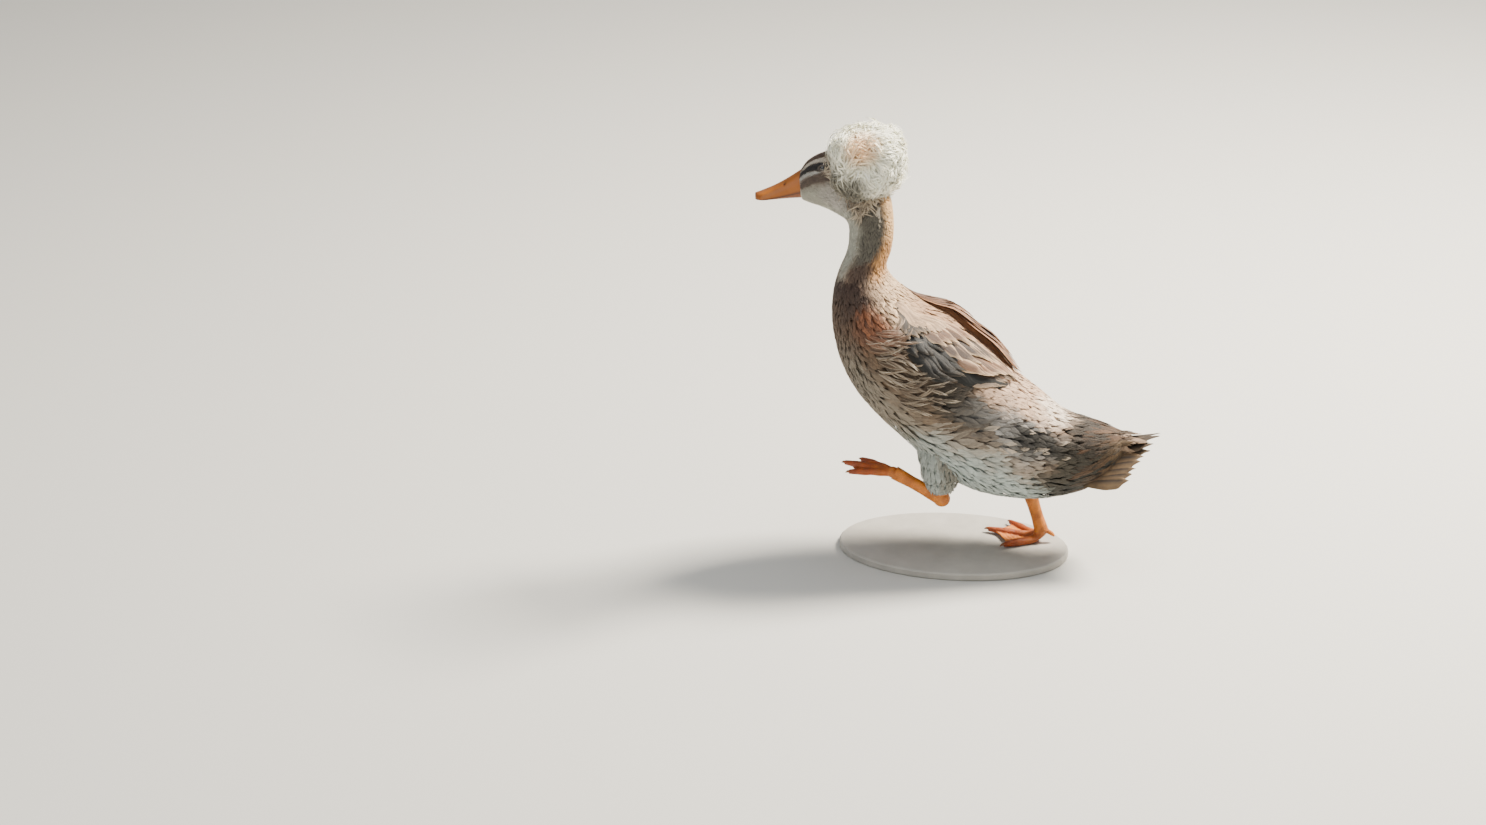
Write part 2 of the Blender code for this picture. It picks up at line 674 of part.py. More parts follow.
def inside_trunk(point, share):
    """Whether a point lies within the head or neck, each section shrunk to a share."""
    for s in np.linspace(1, 9, 33):
        centre, up, along, height, half = trunk_frame(s)
        offset = point - centre
        if abs(offset.dot(along)) < 0.004:
            if (offset.dot(up) / height) ** 2 + (offset.y / half) ** 2 < share**2:
                return True
    return False


def crest_path(way, rng):
    """The path of one lock: out from the core, then bent over to one side."""
    reach = 1 / Vector([w / r for w, r in zip(way, CREST_RADII)]).length
    reach *= rng.uniform(0.94, 1.05)
    turn = rng.uniform(-1.1, 1.1)
    swirl = way.cross(Vector((0.35, 0.25, 0.9))).normalized()
    bend = swirl * math.cos(turn) + way.cross(swirl) * math.sin(turn)
    curl = rng.uniform(0.28, 0.46) * reach
    path = [
        CREST_CENTRE + way * reach * (0.42 + 0.80 * t - 0.22 * t**3) + bend * curl * t * t
        for t in (0.0, 0.4, 0.75, 1.0)
    ]
    return path, way.cross(bend).normalized()


def make_crest(head, neck, collection, scratch, finish):
    """A ball of flat tapered locks that bend over one another, on a small core. A lock
    that would run into the head is turned out over its side."""
    rng = np.random.default_rng(7)
    crest = ellipsoid("crest", CREST_CENTRE, CREST_RADII * CREST_CORE, collection, finish, 10, 7)
    locks = bpy.data.collections.new("locks")
    golden = math.pi * (3 - math.sqrt(5))
    for k in range(CREST_LOCKS):
        z = 1 - 2 * (k + 0.5) / CREST_LOCKS
        flat = math.sqrt(1 - z * z)
        way = Vector((math.cos(golden * k) * flat, math.sin(golden * k) * flat, z))
        for _ in range(4):
            path, side = crest_path(way, rng)
            buried = inside_trunk(path[-1], 1.05) or inside_trunk(path[2], 0.95)
            if not buried:
                break
            way = (way + Vector((0, math.copysign(0.3, way.y), 0))).normalized()
        if buried:
            continue
        width = LOCK_WIDTH * rng.uniform(0.85, 1.15) / 2
        rings = []
        for i, (half, thick) in enumerate(((0.6, 1.0), (1.0, 1.0), (0.95, 0.7), (0.34, 0.35))):
            ahead = path[min(i + 1, 3)] - path[max(i - 1, 0)]
            face = side.cross(ahead).normalized() * LOCK_THICKNESS / 2 * thick
            across = side * width * half
            rings.append([path[i] - across, path[i] + face, path[i] + across, path[i] - face])
        add_object("lock", lofted("lock", rings), locks)
    fuse(crest, locks)
    clear_of(crest, [head, neck], scratch)
    return crest


def build():
    for old in list(bpy.data.objects):
        bpy.data.objects.remove(old)
    root = bpy.context.scene.collection
    duck = bpy.data.collections.new("crested_duck")
    scratch = bpy.data.collections.new("cutters")
    root.children.link(duck)
    root.children.link(scratch)

    buff = material("plumage_buff", (0.42, 0.33, 0.25), 0.85)
    grey = material("plumage_grey", (0.38, 0.36, 0.33), 0.85)
    brown = material("plumage_brown", (0.30, 0.25, 0.21), 0.8)
    cream = material("crest_cream", (0.86, 0.80, 0.70), 0.9)
    orange = material("bill_horn", (0.62, 0.36, 0.13), 0.5)
    skin = material("leg_skin", (0.80, 0.36, 0.07), 0.55)
    dark = material("eye_dark", (0.03, 0.02, 0.015), 0.12)
    plate = material("stand_plate", (0.62, 0.60, 0.56), 0.7)

    head = make_head(duck, scratch, grey, dark)
    neck = trunk_piece("neck", NAPE, NECK_BASE, 10, duck, grey)
    torso = trunk_piece("torso", NECK_BASE, RUMP, 22, duck, buff)
    make_bill(duck, scratch, orange)
    shanks = add_legs(duck, scratch, skin)
    clear_of(torso, [shanks["right"]], scratch)
    make_tail(duck, brown)
    make_wings(torso, duck, scratch, brown)
    make_crest(head, neck, duck, scratch, cream)

    for name, sections in THIGHS.items():
        rings = tube_rings([Vector(row[:3]) for row in sections], [row[3] for row in sections], 16)
        thigh = add_object(name, lofted(name, rings), duck, buff)
        clear_of(thigh, [torso, shanks[name.removeprefix("thigh_")]], scratch)
    make_base(duck, plate)
    settle(duck)


def add_legs(duck, scratch, skin):
    """Shanks and feet: the left leg swings forward, the right one carries the bird."""
    shank_left = make_shank("shank_left", HOCK_L + TIBIA_L, HOCK_L, ANKLE_L, duck, skin)
    shank_right = make_shank("shank_right", HOCK_R + TIBIA_R, HOCK_R, ANKLE_R, duck, skin)
    turn = math.radians
    left_forward = Vector((-0.91, 0.36, 0.03)).normalized()
    left_up = Vector((0.05, -0.50, 0.86))
    left_up = (left_up - left_forward * left_up.dot(left_forward)).normalized()
    left = make_foot("foot_left", ANKLE_L, left_forward, left_up, 1, [turn(-12), 0.0, turn(12)],
                     lambda t: 0.005 * t * t, duck, scratch, skin)
    clear_of(left, [shank_left], scratch)
    right = make_foot("foot_right", ANKLE_R, Vector((-1, 0, 0)), Vector((0, 0, 1)), -1,
                      [turn(-31), turn(14), turn(45)],
                      lambda t: 0.0082 * (1 - (1 - min(t / 0.35, 1)) ** 2), duck, scratch, skin)
    floor = box("floor", (-0.3, -0.3, -0.1), (0.3, 0.3, 0.0), scratch)
    boolean(right, floor, "DIFFERENCE")
    remove(floor)
    clear_of(right, [shank_right], scratch)
    return {"left": shank_left, "right": shank_right}


def settle(collection):
    """Lifts everything but the base onto the base's top, by one empty."""
    holder = bpy.data.objects.new("bird", None)
    collection.objects.link(holder)
    holder.location = (0, 0, BASE_THICKNESS + GAP)
    for obj in collection.objects:
        if obj is not holder and obj.name != "stand_base":
            obj.parent = holder
        if obj.type == "MESH":
            obj.data.shade_smooth()
            obj.data.set_sharp_from_angle(angle=math.radians(50))


build()
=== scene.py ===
import math

import bpy
import numpy as np
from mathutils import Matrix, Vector


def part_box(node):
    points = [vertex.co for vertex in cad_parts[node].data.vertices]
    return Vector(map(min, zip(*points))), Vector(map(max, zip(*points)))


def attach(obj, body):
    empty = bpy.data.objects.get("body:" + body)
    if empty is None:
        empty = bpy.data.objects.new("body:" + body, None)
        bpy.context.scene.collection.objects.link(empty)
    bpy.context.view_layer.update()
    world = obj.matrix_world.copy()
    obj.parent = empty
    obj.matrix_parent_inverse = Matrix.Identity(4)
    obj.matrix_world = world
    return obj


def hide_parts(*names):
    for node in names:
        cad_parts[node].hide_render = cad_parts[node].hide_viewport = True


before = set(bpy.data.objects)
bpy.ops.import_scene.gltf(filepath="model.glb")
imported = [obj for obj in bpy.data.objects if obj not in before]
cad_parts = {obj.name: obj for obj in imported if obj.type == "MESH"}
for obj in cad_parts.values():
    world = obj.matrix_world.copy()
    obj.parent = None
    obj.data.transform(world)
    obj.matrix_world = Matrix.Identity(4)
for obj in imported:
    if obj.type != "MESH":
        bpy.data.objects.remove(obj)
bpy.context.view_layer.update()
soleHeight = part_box("foot_right")[0][2]
print("frame loaded")

# The body as sections from the face to the tail: upper point x z, lower point x z, half width.
# Heights count from the sole. Sections fan round the bends.
trunk = {
    "power": 2.25,  # 2 gives an ellipse, more is squarer
    "past": np.array([0.0103, -0.0006, 0.0103, 0.0000, 0.0006]),  # a section's step beyond the last
    "sections": np.array([
        (-0.1860, 0.4500, -0.1832, 0.4180, 0.0118),
        (-0.1770, 0.4630, -0.1740, 0.4145, 0.0162),
        (-0.1615, 0.4725, -0.1620, 0.4113, 0.0205),
        (-0.1390, 0.4785, -0.1510, 0.4070, 0.0228),
        (-0.1155, 0.4745, -0.1405, 0.4015, 0.0235),
        (-0.0965, 0.4580, -0.1330, 0.3965, 0.0230),
        (-0.0855, 0.4335, -0.1295, 0.3893, 0.0224),
        (-0.0800, 0.4080, -0.1288, 0.3795, 0.0222),
        (-0.0785, 0.3830, -0.1295, 0.3665, 0.0228),
        (-0.0810, 0.3610, -0.1330, 0.3525, 0.0245),
        (-0.0860, 0.3415, -0.1395, 0.3365, 0.0295),
        (-0.0795, 0.3260, -0.1450, 0.3155, 0.0390),
        (-0.0643, 0.3112, -0.1470, 0.2905, 0.0495),
        (-0.0428, 0.2946, -0.1445, 0.2620, 0.0590),
        (-0.0140, 0.2810, -0.1355, 0.2290, 0.0665),
        (0.0125, 0.2605, -0.1190, 0.1975, 0.0710),
        (0.0390, 0.2385, -0.0940, 0.1685, 0.0730),
        (0.0635, 0.2175, -0.0630, 0.1400, 0.0720),
        (0.0860, 0.2010, -0.0275, 0.1080, 0.0690),
        (0.1045, 0.1870, 0.0125, 0.0812, 0.0640),
        (0.1190, 0.1760, 0.0565, 0.0708, 0.0570),
        (0.1330, 0.1700, 0.1000, 0.0700, 0.0490),
        (0.1490, 0.1665, 0.1360, 0.0780, 0.0410),
        (0.1655, 0.1610, 0.1650, 0.0920, 0.0335),
        (0.1800, 0.1560, 0.1830, 0.1095, 0.0255),
        (0.1900, 0.1525, 0.1935, 0.1270, 0.0160),
    ]),
}


def smooth(x):  # 3x^2 - 2x^3 with x held between 0 and 1
    x = np.clip(x, 0.0, 1.0)
    return x * x * (3 - 2 * x)


def unit(v):
    return v / np.maximum(np.linalg.norm(v, axis=-1, keepdims=True), 1e-12)


def between(pair, share):  # the value at a share of the way from the first to the second
    return pair[0] + (pair[1] - pair[0]) * share


def layOver(under, over, amount):  # one colour laid over another by an amount from 0 to 1
    return under * (1 - amount) + over * amount


def gridOf(first, second):
    return np.meshgrid(first, second, indexing="ij")


def roundTurn(count):  # angles evenly round a full turn
    return np.linspace(0, 2 * math.pi, count, endpoint=False)


# The Catmull-Rom curve through rows of numbers, at places k counted in rows: at each row its
# slope is half the step from the row before to the row after
def curveThrough(rows, k):
    last = len(rows) - 1
    i = np.clip(np.floor(k).astype(int), 0, last - 1)
    t = (k - i)[..., None]
    before, here = rows[np.maximum(i - 1, 0)], rows[i]
    after, beyond = rows[i + 1], rows[np.minimum(i + 2, last)]
    return 0.5 * (2 * here + (after - before) * t + (2 * before - 5 * here + 4 * after - beyond) * t**2
                  + (3 * here - before - 3 * after + beyond) * t**3)


def readTable(table, at):  # straight between pairs of place and value
    places, values = np.array(table).T
    return np.interp(at, places, values)


def trunkRow(s):  # the sections at places s, straight on past the last
    last = len(trunk["sections"]) - 1
    past = np.maximum(s - last, 0)[..., None]
    return curveThrough(trunk["sections"], np.minimum(s, last)) + trunk["past"] * past


# A point of the body: from the section's centre, the powered cosine of the angle times the half
# height goes up, and the powered sine times the half width goes to the left side (-y)
def trunkPoint(s, angle, lift=0.0):
    row = trunkRow(s)
    upX, upZ = row[..., 0] - row[..., 2], row[..., 1] - row[..., 3]
    height = np.hypot(upX, upZ)
    c, d = np.cos(angle), np.sin(angle)
    rise = np.sign(c) * np.abs(c) ** (2 / trunk["power"]) * (height / 2 + lift)
    side = np.sign(d) * np.abs(d) ** (2 / trunk["power"]) * (row[..., 4] + lift)
    x = (row[..., 0] + row[..., 2]) / 2 + upX / height * rise
    z = (row[..., 1] + row[..., 3]) / 2 + upZ / height * rise + soleHeight
    return np.stack([x, -side, z], -1)


# A thigh: a round tube along a path, a from 0 at the belly to 1 at the hock
thighs = {
    "left": np.array([
        (-0.0200, -0.0260, 0.1500, 0.0260), (-0.0160, -0.0330, 0.1200, 0.0240),
        (-0.0135, -0.0355, 0.0980, 0.0215), (-0.0135, -0.0350, 0.0870, 0.0170),
        (-0.0140, -0.0347, 0.0790, 0.0125),
    ]),
    "right": np.array([
        (0.0660, 0.0220, 0.1100, 0.0260), (0.0740, 0.0250, 0.0910, 0.0250),
        (0.0800, 0.0270, 0.0775, 0.0200), (0.0830, 0.0270, 0.0700, 0.0145),
        (0.0838, 0.0267, 0.0660, 0.0110),
    ]),
}


def thighPoint(side, a, angle, lift=0.0):  # path point plus radius times the circle's two directions
    rows = thighs[side]
    k = np.linspace(0, 1, len(rows))
    path = np.stack([np.interp(a, k, rows[:, i]) for i in range(4)], -1)
    way = unit(rows[-1, :3] - rows[0, :3])
    across = unit(np.array([0.0, 1.0, 0.0]) - way * way[1])
    other = np.cross(way, across)
    radius = (path[..., 3] + lift)[..., None]
    circle = across * np.cos(angle)[..., None] + other * np.sin(angle)[..., None]
    point = path[..., :3] + circle * radius
    point[..., 2] += soleHeight
    return point


# Metres per unit of each surface coordinate, as direction vectors, by central difference
def surfaceSteps(surface, a, b):
    e = 1e-3
    alongA = (surface(a + e, b, 0.0) - surface(a - e, b, 0.0)) / (2 * e)
    alongB = (surface(a, b + e, 0.0) - surface(a, b - e, 0.0)) / (2 * e)
    return alongA, alongB


def trunkNormal(s, angle):  # the cross product of the two steps, turned to point away from the middle
    alongA, alongB = surfaceSteps(trunkPoint, s, angle)
    normal = unit(np.cross(alongA, alongB))
    row = trunkRow(s)
    middle = [(row[..., 0] + row[..., 2]) / 2, 0 * s, (row[..., 1] + row[..., 3]) / 2 + soleHeight]
    outward = trunkPoint(s, angle) - np.stack(middle, -1)
    return normal * np.sign((normal * outward).sum(-1, keepdims=True))


# Slow random variation: a sum of sines in random directions, about -1 to 1
def drift(points, size, seed, waves=7):
    rng = np.random.default_rng(seed)
    total = np.zeros(points.shape[:-1])
    for _ in range(waves):
        way = rng.normal(size=3)
        way /= np.linalg.norm(way)
        total += np.sin(points @ way * (2 * math.pi / (size * rng.uniform(0.7, 1.5))) + rng.uniform(0, 6.28))
    return total / math.sqrt(waves) / 1.2


# Colours
def tone(r, g, b):  # a screen colour, 0 to 255, as a linear one, its middle tones a little deeper
    c = np.array([r, g, b]) / 255.0
    return np.where(c <= 0.04045, c / 12.92, ((c + 0.055) / 1.055) ** 2.4) ** 1.22


plumage = {
    "ground": tone(168, 144, 122),
    # name: place (s, degrees from the back), radii (s, degrees), colour, strength, softness
    "patches": [
        ("headSide", (2.0, 70), (3.4, 90), tone(170, 158, 146), 1.0, 0.6),
        ("chin", (1.8, 142), (3.6, 46), tone(206, 204, 190), 1.0, 0.6),
        ("cheek", (3.4, 112), (1.5, 26), tone(204, 198, 190), 0.9, 0.8),
        ("hindhead", (4.2, 30), (1.6, 62), tone(206, 190, 170), 0.9, 0.8),
        ("neckSide", (6.9, 88), (3.0, 42), tone(118, 114, 104), 1.0, 0.9),
        ("neckFront", (7.0, 154), (3.2, 34), tone(194, 194, 182), 1.0, 1.0),
        ("nape", (7.2, 12), (2.8, 36), tone(232, 194, 144), 1.0, 0.8),
        ("napeLow", (9.4, 32), (1.3, 38), tone(210, 162, 106), 1.0, 0.9),
        ("neckFoot", (9.8, 92), (0.7, 30), tone(106, 86, 74), 0.9, 0.8),
        ("mantle", (12.0, 0), (1.9, 66), tone(220, 190, 156), 1.0, 0.7),
        ("saddle", (14.8, 0), (2.4, 48), tone(190, 154, 122), 0.95, 0.9),
        ("chest", (11.3, 134), (1.2, 66), tone(84, 64, 54), 1.0, 0.7),
        ("lowChest", (13.1, 140), (1.5, 58), tone(114, 92, 74), 0.95, 1.0),
        ("rust", (12.95, 86), (1.0, 20), tone(168, 100, 56), 0.72, 1.4),
        ("flank", (15.6, 92), (2.5, 32), tone(114, 95, 74), 0.95, 0.9),
        ("flankLow", (15.7, 138), (2.3, 26), tone(148, 140, 126), 0.9, 0.9),
        ("flankRear", (17.0, 78), (1.6, 22), tone(56, 48, 36), 1.0, 0.9),
        # the belly's own pale colour, painted darker and greenish as painted shade and a painted reflection of
        # green
        ("belly", (19.5, 148), (2.5, 50), tone(186, 196, 192), 1.0, 0.7),
        ("rump", (18.0, 8), (2.2, 44), tone(214, 184, 158), 1.0, 0.8),
        ("rumpLight", (19.5, 12), (0.9, 22), tone(246, 232, 214), 0.85, 0.9),
        ("speckle", (19.2, 64), (1.9, 24), tone(168, 166, 162), 0.95, 0.8),
        ("speckleDark", (19.9, 62), (1.6, 18), tone(58, 56, 52), 1.0, 0.9),
        ("hindSide", (22.3, 92), (1.8, 46), tone(70, 66, 54), 0.98, 0.8),
        ("tailTop", (22.3, 18), (1.8, 52), tone(60, 49, 35), 1.0, 0.8),
        # vent: painted shade under the tail, darker than its own colour
        ("vent", (22.9, 140), (1.8, 50), tone(36, 36, 25), 1.0, 0.9),
    ],
    # name: from (s, degrees), to (s, degrees), half width in degrees at each end, colour, strength
    "stripes": [
        ("crown", (0.5, 6), (2.4, 10), (13, 15), tone(96, 74, 58), 1.0),
        ("brow", (0.7, 27), (2.2, 35), (7, 7), tone(222, 212, 198), 1.0),
        ("eyeStripe", (0.1, 42), (2.7, 53), (11, 11), tone(62, 58, 58), 1.0),
        ("underEye", (0.3, 60), (1.7, 66), (8, 4), tone(206, 204, 198), 1.0),
        ("cheekStripe", (0.2, 86), (2.7, 74), (11, 9), tone(122, 108, 98), 0.95),
        ("napeStreak", (5.9, 61), (7.0, 65), (3.5, 2.0), tone(236, 222, 202), 0.85),
    ],
    # place, radii, how much single feathers differ in brightness
    "speckled": [
        ((19.6, 66), (2.0, 26), 0.42), ((12.2, 50), (1.0, 26), 0.30),
        ((13.0, 86), (1.2, 26), 0.28), ((15.6, 92), (2.6, 34), 0.12),
    ],
    "even": 0.08,  # how much they differ elsewhere
    # how far the pattern wanders: size of a wave, seed and reach along s, seed and reach in degrees
    "drifts": [(0.035, 3, 0.22, 5, 6), (0.009, 4, 0.10, 6, 2.5)],
}


def halfTurn(angle):  # an angle as degrees from the back, 0 to 180 on either side
    return np.abs(np.degrees((angle + math.pi) % (2 * math.pi) - math.pi))


def nearTo(s, degrees, place, radii):  # distance from a place, counted in its radii
    return np.hypot((s - place[0]) / radii[0], (degrees - place[1]) / radii[1])


# Colours over the body: each patch is a soft ellipse and each stripe a soft band laid over
# those before it, its place shifted by slow random variation so that no edge is drawn
def plumageAt(s, angle, points):
    degrees = halfTurn(angle)
    colour = np.tile(plumage["ground"], s.shape + (1,))
    ease = 0.25 + 0.75 * smooth((s - 3) / 4)
    ds, da = s, degrees
    for size, seedS, reachS, seedDegrees, reachDegrees in plumage["drifts"]:
        ds = ds + drift(points, size, seedS) * reachS * ease
        da = da + drift(points, size, seedDegrees) * reachDegrees * ease
    for _, place, radii, shade, strength, soft in plumage["patches"]:
        weight = smooth((1 + soft / 2 - nearTo(ds, da, place, radii)) / soft) * strength
        colour = layOver(colour, shade, weight[..., None])
    for _, start, end, halves, shade, strength in plumage["stripes"]:
        t = np.clip((ds - start[0]) / (end[0] - start[0]), 0, 1)
        beyond = (ds - np.clip(ds, start[0], end[0])) / 0.25
        off = (da - start[1] - (end[1] - start[1]) * t) / between(halves, t)
        weight = smooth((1.25 - np.hypot(beyond, off)) / 0.5) * strength
        colour = layOver(colour, shade, weight[..., None])
    return colour


def speckleAt(s, angle):  # how much the brightness of single feathers varies at a place
    amount = np.full(s.shape, plumage["even"])
    for place, radii, strength in plumage["speckled"]:
        near = nearTo(s, halfTurn(angle), place, radii)
        amount = np.maximum(amount, smooth((1.3 - near) / 0.6) * strength)
    return amount


# Node helpers
def setSockets(node, **values):  # socket names with spaces as underscores
    for name, value in values.items():
        node.inputs[name.replace("_", " ")].default_value = value


def makeMaterial(name, **values):
    material = bpy.data.materials.new(name)
    material.use_nodes = True
    shader = material.node_tree.nodes["Principled BSDF"]
    setSockets(shader, **values)
    return material, material.node_tree, shader


def addNode(tree, kind, **values):  # sockets by name, with spaces as underscores; properties too
    node = tree.nodes.new(kind)
    for key, value in values.items():
        name = key.replace("_", " ")
        if hasattr(node, key):
            setattr(node, key, value)
        elif isinstance(value, bpy.types.NodeSocket):
            tree.links.new(value, node.inputs[name])
        else:
            node.inputs[name].default_value = value
    return node


def mathNode(tree, operation, a, b=0.0, c=0.0):
    node = tree.nodes.new("ShaderNodeMath")
    node.operation = operation
    for i, value in enumerate((a, b, c)):
        if isinstance(value, bpy.types.NodeSocket):
            tree.links.new(value, node.inputs[i])
        else:
            node.inputs[i].default_value = value
    return node.outputs[0]


def mixColour(tree, factor, a, b, blend="MIX"):
    node = tree.nodes.new("ShaderNodeMix")
    node.data_type = "RGBA"
    node.blend_type = blend
    for socket, value in ((node.inputs[0], factor), (node.inputs[6], a), (node.inputs[7], b)):
        if isinstance(value, bpy.types.NodeSocket):
            tree.links.new(value, socket)
        else:
            socket.default_value = value
    return node.outputs[2]


def tintOf(tree):  # the colour painted on a piece's points
    return addNode(tree, "ShaderNodeAttribute", attribute_name="tint").outputs["Color"]


def objectPlace(tree):
    return tree.nodes.new("ShaderNodeTexCoord").outputs["Object"]


def grainOf(tree, scale, detail):  # noise in Object coordinates
    return addNode(tree, "ShaderNodeTexNoise", Vector=objectPlace(tree), Scale=scale, Detail=detail).outputs[0]


def shaded(tree, colour, level):  # a colour times a level
    grey = addNode(tree, "ShaderNodeCombineXYZ", X=level, Y=level, Z=level)
    return mixColour(tree, 1.0, colour, grey.outputs[0], "MULTIPLY")


def mottled(tree, noise, low, high):  # from one colour to another by the noise
    return mixColour(tree, noise, (*low, 1), (*high, 1))


def bumpBy(tree, shader, height, strength, distance):
    bump = addNode(tree, "ShaderNodeBump", Strength=strength, Distance=distance, Height=height)
    tree.links.new(bump.outputs[0], shader.inputs["Normal"])


# Barbs: fine slanting lines each side of a shaft, worked from the vane's own map
# (x across from 0 to 1, y from root to tip), and fine mottling from Object coordinates
def makeBarbGroup():
    tree = bpy.data.node_groups.new("featherBarbs", "ShaderNodeTree")
    sockets = {
        "INPUT": [("Tint", "Color"), ("Map", "Vector"), ("Place", "Vector"),
                  ("Fineness", "Float"), ("Contrast", "Float"), ("Mottle", "Float")],
        "OUTPUT": [("Colour", "Color"), ("Height", "Float")],
    }
    for way, kinds in sockets.items():
        for name, kind in kinds:
            tree.interface.new_socket(name, in_out=way, socket_type="NodeSocket" + kind)
    enter, leave = tree.nodes.new("NodeGroupInput"), tree.nodes.new("NodeGroupOutput")
    parts = addNode(tree, "ShaderNodeSeparateXYZ", Vector=enter.outputs["Map"])
    across = mathNode(tree, "ABSOLUTE", mathNode(tree, "SUBTRACT", parts.outputs[0], 0.5))
    noise = addNode(tree, "ShaderNodeTexNoise", Vector=enter.outputs["Place"], Scale=900.0, Detail=2.0)
    slant = mathNode(tree, "MULTIPLY_ADD", across, -1.1, parts.outputs[1])
    phase = mathNode(tree, "MULTIPLY", slant, enter.outputs["Fineness"])
    phase = mathNode(tree, "MULTIPLY_ADD", noise.outputs[0], 2.6, phase)
    line = mathNode(tree, "MULTIPLY_ADD", mathNode(tree, "SINE", phase), 0.5, 0.5)
    shaft = mathNode(tree, "LESS_THAN", across, 0.035)
    height = mathNode(tree, "MAXIMUM", line, shaft)
    dark = mathNode(tree, "MULTIPLY", mathNode(tree, "SUBTRACT", 1.0, line), enter.outputs["Contrast"])
    mottle = addNode(tree, "ShaderNodeTexNoise", Vector=enter.outputs["Place"], Scale=140.0, Detail=3.0)
    grain = mathNode(tree, "SUBTRACT", mottle.outputs[0], 0.5)
    level = mathNode(tree, "MULTIPLY_ADD", grain, enter.outputs["Mottle"], 1.0)
    level = mathNode(tree, "SUBTRACT", level, dark)
    tree.links.new(shaded(tree, enter.outputs["Tint"], level), leave.inputs["Colour"])
    tree.links.new(height, leave.inputs["Height"])
    return tree


barbGroup = makeBarbGroup()


def featherMaterial(name, fineness, contrast, mottle, roughness, sheen, bump):
    material, tree, shader = makeMaterial(name, Roughness=roughness, Sheen_Weight=sheen)
    vane = addNode(tree, "ShaderNodeUVMap", uv_map="vane")
    barbs = tree.nodes.new("ShaderNodeGroup")
    barbs.node_tree = barbGroup
    setSockets(barbs, Fineness=fineness, Contrast=contrast, Mottle=mottle)
    tree.links.new(tintOf(tree), barbs.inputs["Tint"])
    tree.links.new(vane.outputs[0], barbs.inputs["Map"])
    tree.links.new(objectPlace(tree), barbs.inputs["Place"])
    tree.links.new(barbs.outputs["Colour"], shader.inputs["Base Color"])
    bumpBy(tree, shader, barbs.outputs["Height"], bump, 0.0003)
    return material


# Mesh helpers
def meshFromArrays(name, points, faceSizes, corners, material):
    mesh = bpy.data.meshes.new(name)
    mesh.vertices.add(len(points))
    mesh.vertices.foreach_set("co", np.ascontiguousarray(points, np.float32).ravel())
    mesh.loops.add(len(corners))
    mesh.loops.foreach_set("vertex_index", np.ascontiguousarray(corners, np.int32))
    mesh.polygons.add(len(faceSizes))
    starts = np.concatenate([[0], np.cumsum(faceSizes)[:-1]])
    mesh.polygons.foreach_set("loop_start", starts.astype(np.int32))
    mesh.update(calc_edges=True)
    mesh.polygons.foreach_set("use_smooth", np.ones(len(faceSizes), bool))
    mesh.materials.append(material)
    made = bpy.data.objects.new(name, mesh)
    bpy.context.scene.collection.objects.link(made)
    return made


def paintPoints(mesh, name, colours):
    layer = mesh.attributes.new(name, "FLOAT_COLOR", "POINT")
    flat = np.ones((len(colours), 4), np.float32)
    flat[:, :3] = np.clip(colours, 0, 1)
    layer.data.foreach_set("color", flat.ravel())


def addMap(mesh, name, uv):  # a UV map from one value a point
    corners = np.empty(len(mesh.loops), np.int32)
    mesh.loops.foreach_get("vertex_index", corners)
    layer = mesh.uv_layers.new(name=name)
    layer.data.foreach_set("uv", np.ascontiguousarray(uv[corners], np.float32).ravel())


# A closed surface from a grid (rows, columns, 3) whose columns go round and whose ends are
# closed by a flat face
def closedGrid(rows, columns):
    i, j = gridOf(np.arange(rows - 1), np.arange(columns))
    k = (j + 1) % columns
    row, after = i * columns, (i + 1) * columns
    quads = np.stack([row + j, row + k, after + k, after + j], -1).reshape(-1, 4)
    return quads, [np.arange(columns)[::-1], (rows - 1) * columns + np.arange(columns)]


# Closed grids, one after another, as points, face sizes and corners; turned ones face the other way
def joinGrids(grids, turned=False):
    points, sizes, corners, base = [], [], [], 0
    for grid in grids:
        quads, caps = closedGrid(*grid.shape[:2])
        if turned:
            quads, caps = quads[:, ::-1], [cap[::-1] for cap in caps]
        points.append(grid.reshape(-1, 3))
        corners += [quads.ravel() + base, caps[0] + base, caps[1] + base]
        sizes += [np.full(len(quads), 4), [grid.shape[1]], [grid.shape[1]]]
        base += grid.shape[0] * grid.shape[1]
    return np.concatenate(points), np.concatenate(sizes).astype(int), np.concatenate(corners)


# Many vanes in one mesh. path is (vanes, rows, 3) with the across and normal directions at
# each row, half is half the width. A vane's ring runs over its top from left to right and
# back below: its points stand across by u times the half width, up by the thickness times
# 1 - u^2, down by the camber times u^2, and sideways up by the tilt times u. The last rows are
# pulled back by a random share of the fray and a little more at the edges.
def vaneArrays(path, across, normal, half, columns, thick, camber, tilt, fray, rng):
    count, rows = path.shape[:2]
    u = np.linspace(-1, 1, columns + 1)
    top = np.concatenate([u, u[-2:0:-1]])
    bulge = np.concatenate([1 - u**2, -(1 - u[-2:0:-1] ** 2)])
    index = np.concatenate([np.arange(columns + 1), np.arange(columns - 1, 0, -1)])
    v = np.linspace(0, 1, rows)
    step = np.gradient(path, axis=1)
    length = np.linalg.norm(np.diff(path, axis=1), axis=-1).sum(1)
    pull = rng.uniform(0, 1, (count, columns + 1)) * fray[:, None] + 0.10 * u**2
    back = -(v**4)[None, :, None] * pull[:, index][:, None, :] * length[:, None, None]
    sideways = half[..., None] * top
    upward = thick * bulge - camber * half[..., None] * top**2
    upward = upward + tilt[:, None, None] * half[..., None] * top
    points = (path[:, :, None] + across[:, :, None] * sideways[..., None]
              + normal[:, :, None] * upward[..., None] + unit(step)[:, :, None] * back[..., None])
    ring = 2 * columns
    quads, caps = closedGrid(rows, ring)
    start = (np.arange(count) * rows * ring)[:, None, None]
    allQuads = (quads[None] + start).reshape(-1, 4)
    allCaps = (np.stack(caps)[None] + start).reshape(-1, ring)
    uv = np.stack(np.broadcast_arrays((top / 2 + 0.5)[None, :], v[:, None]), -1)
    return points, allQuads, allCaps, np.broadcast_to(uv, (count, rows, ring, 2))


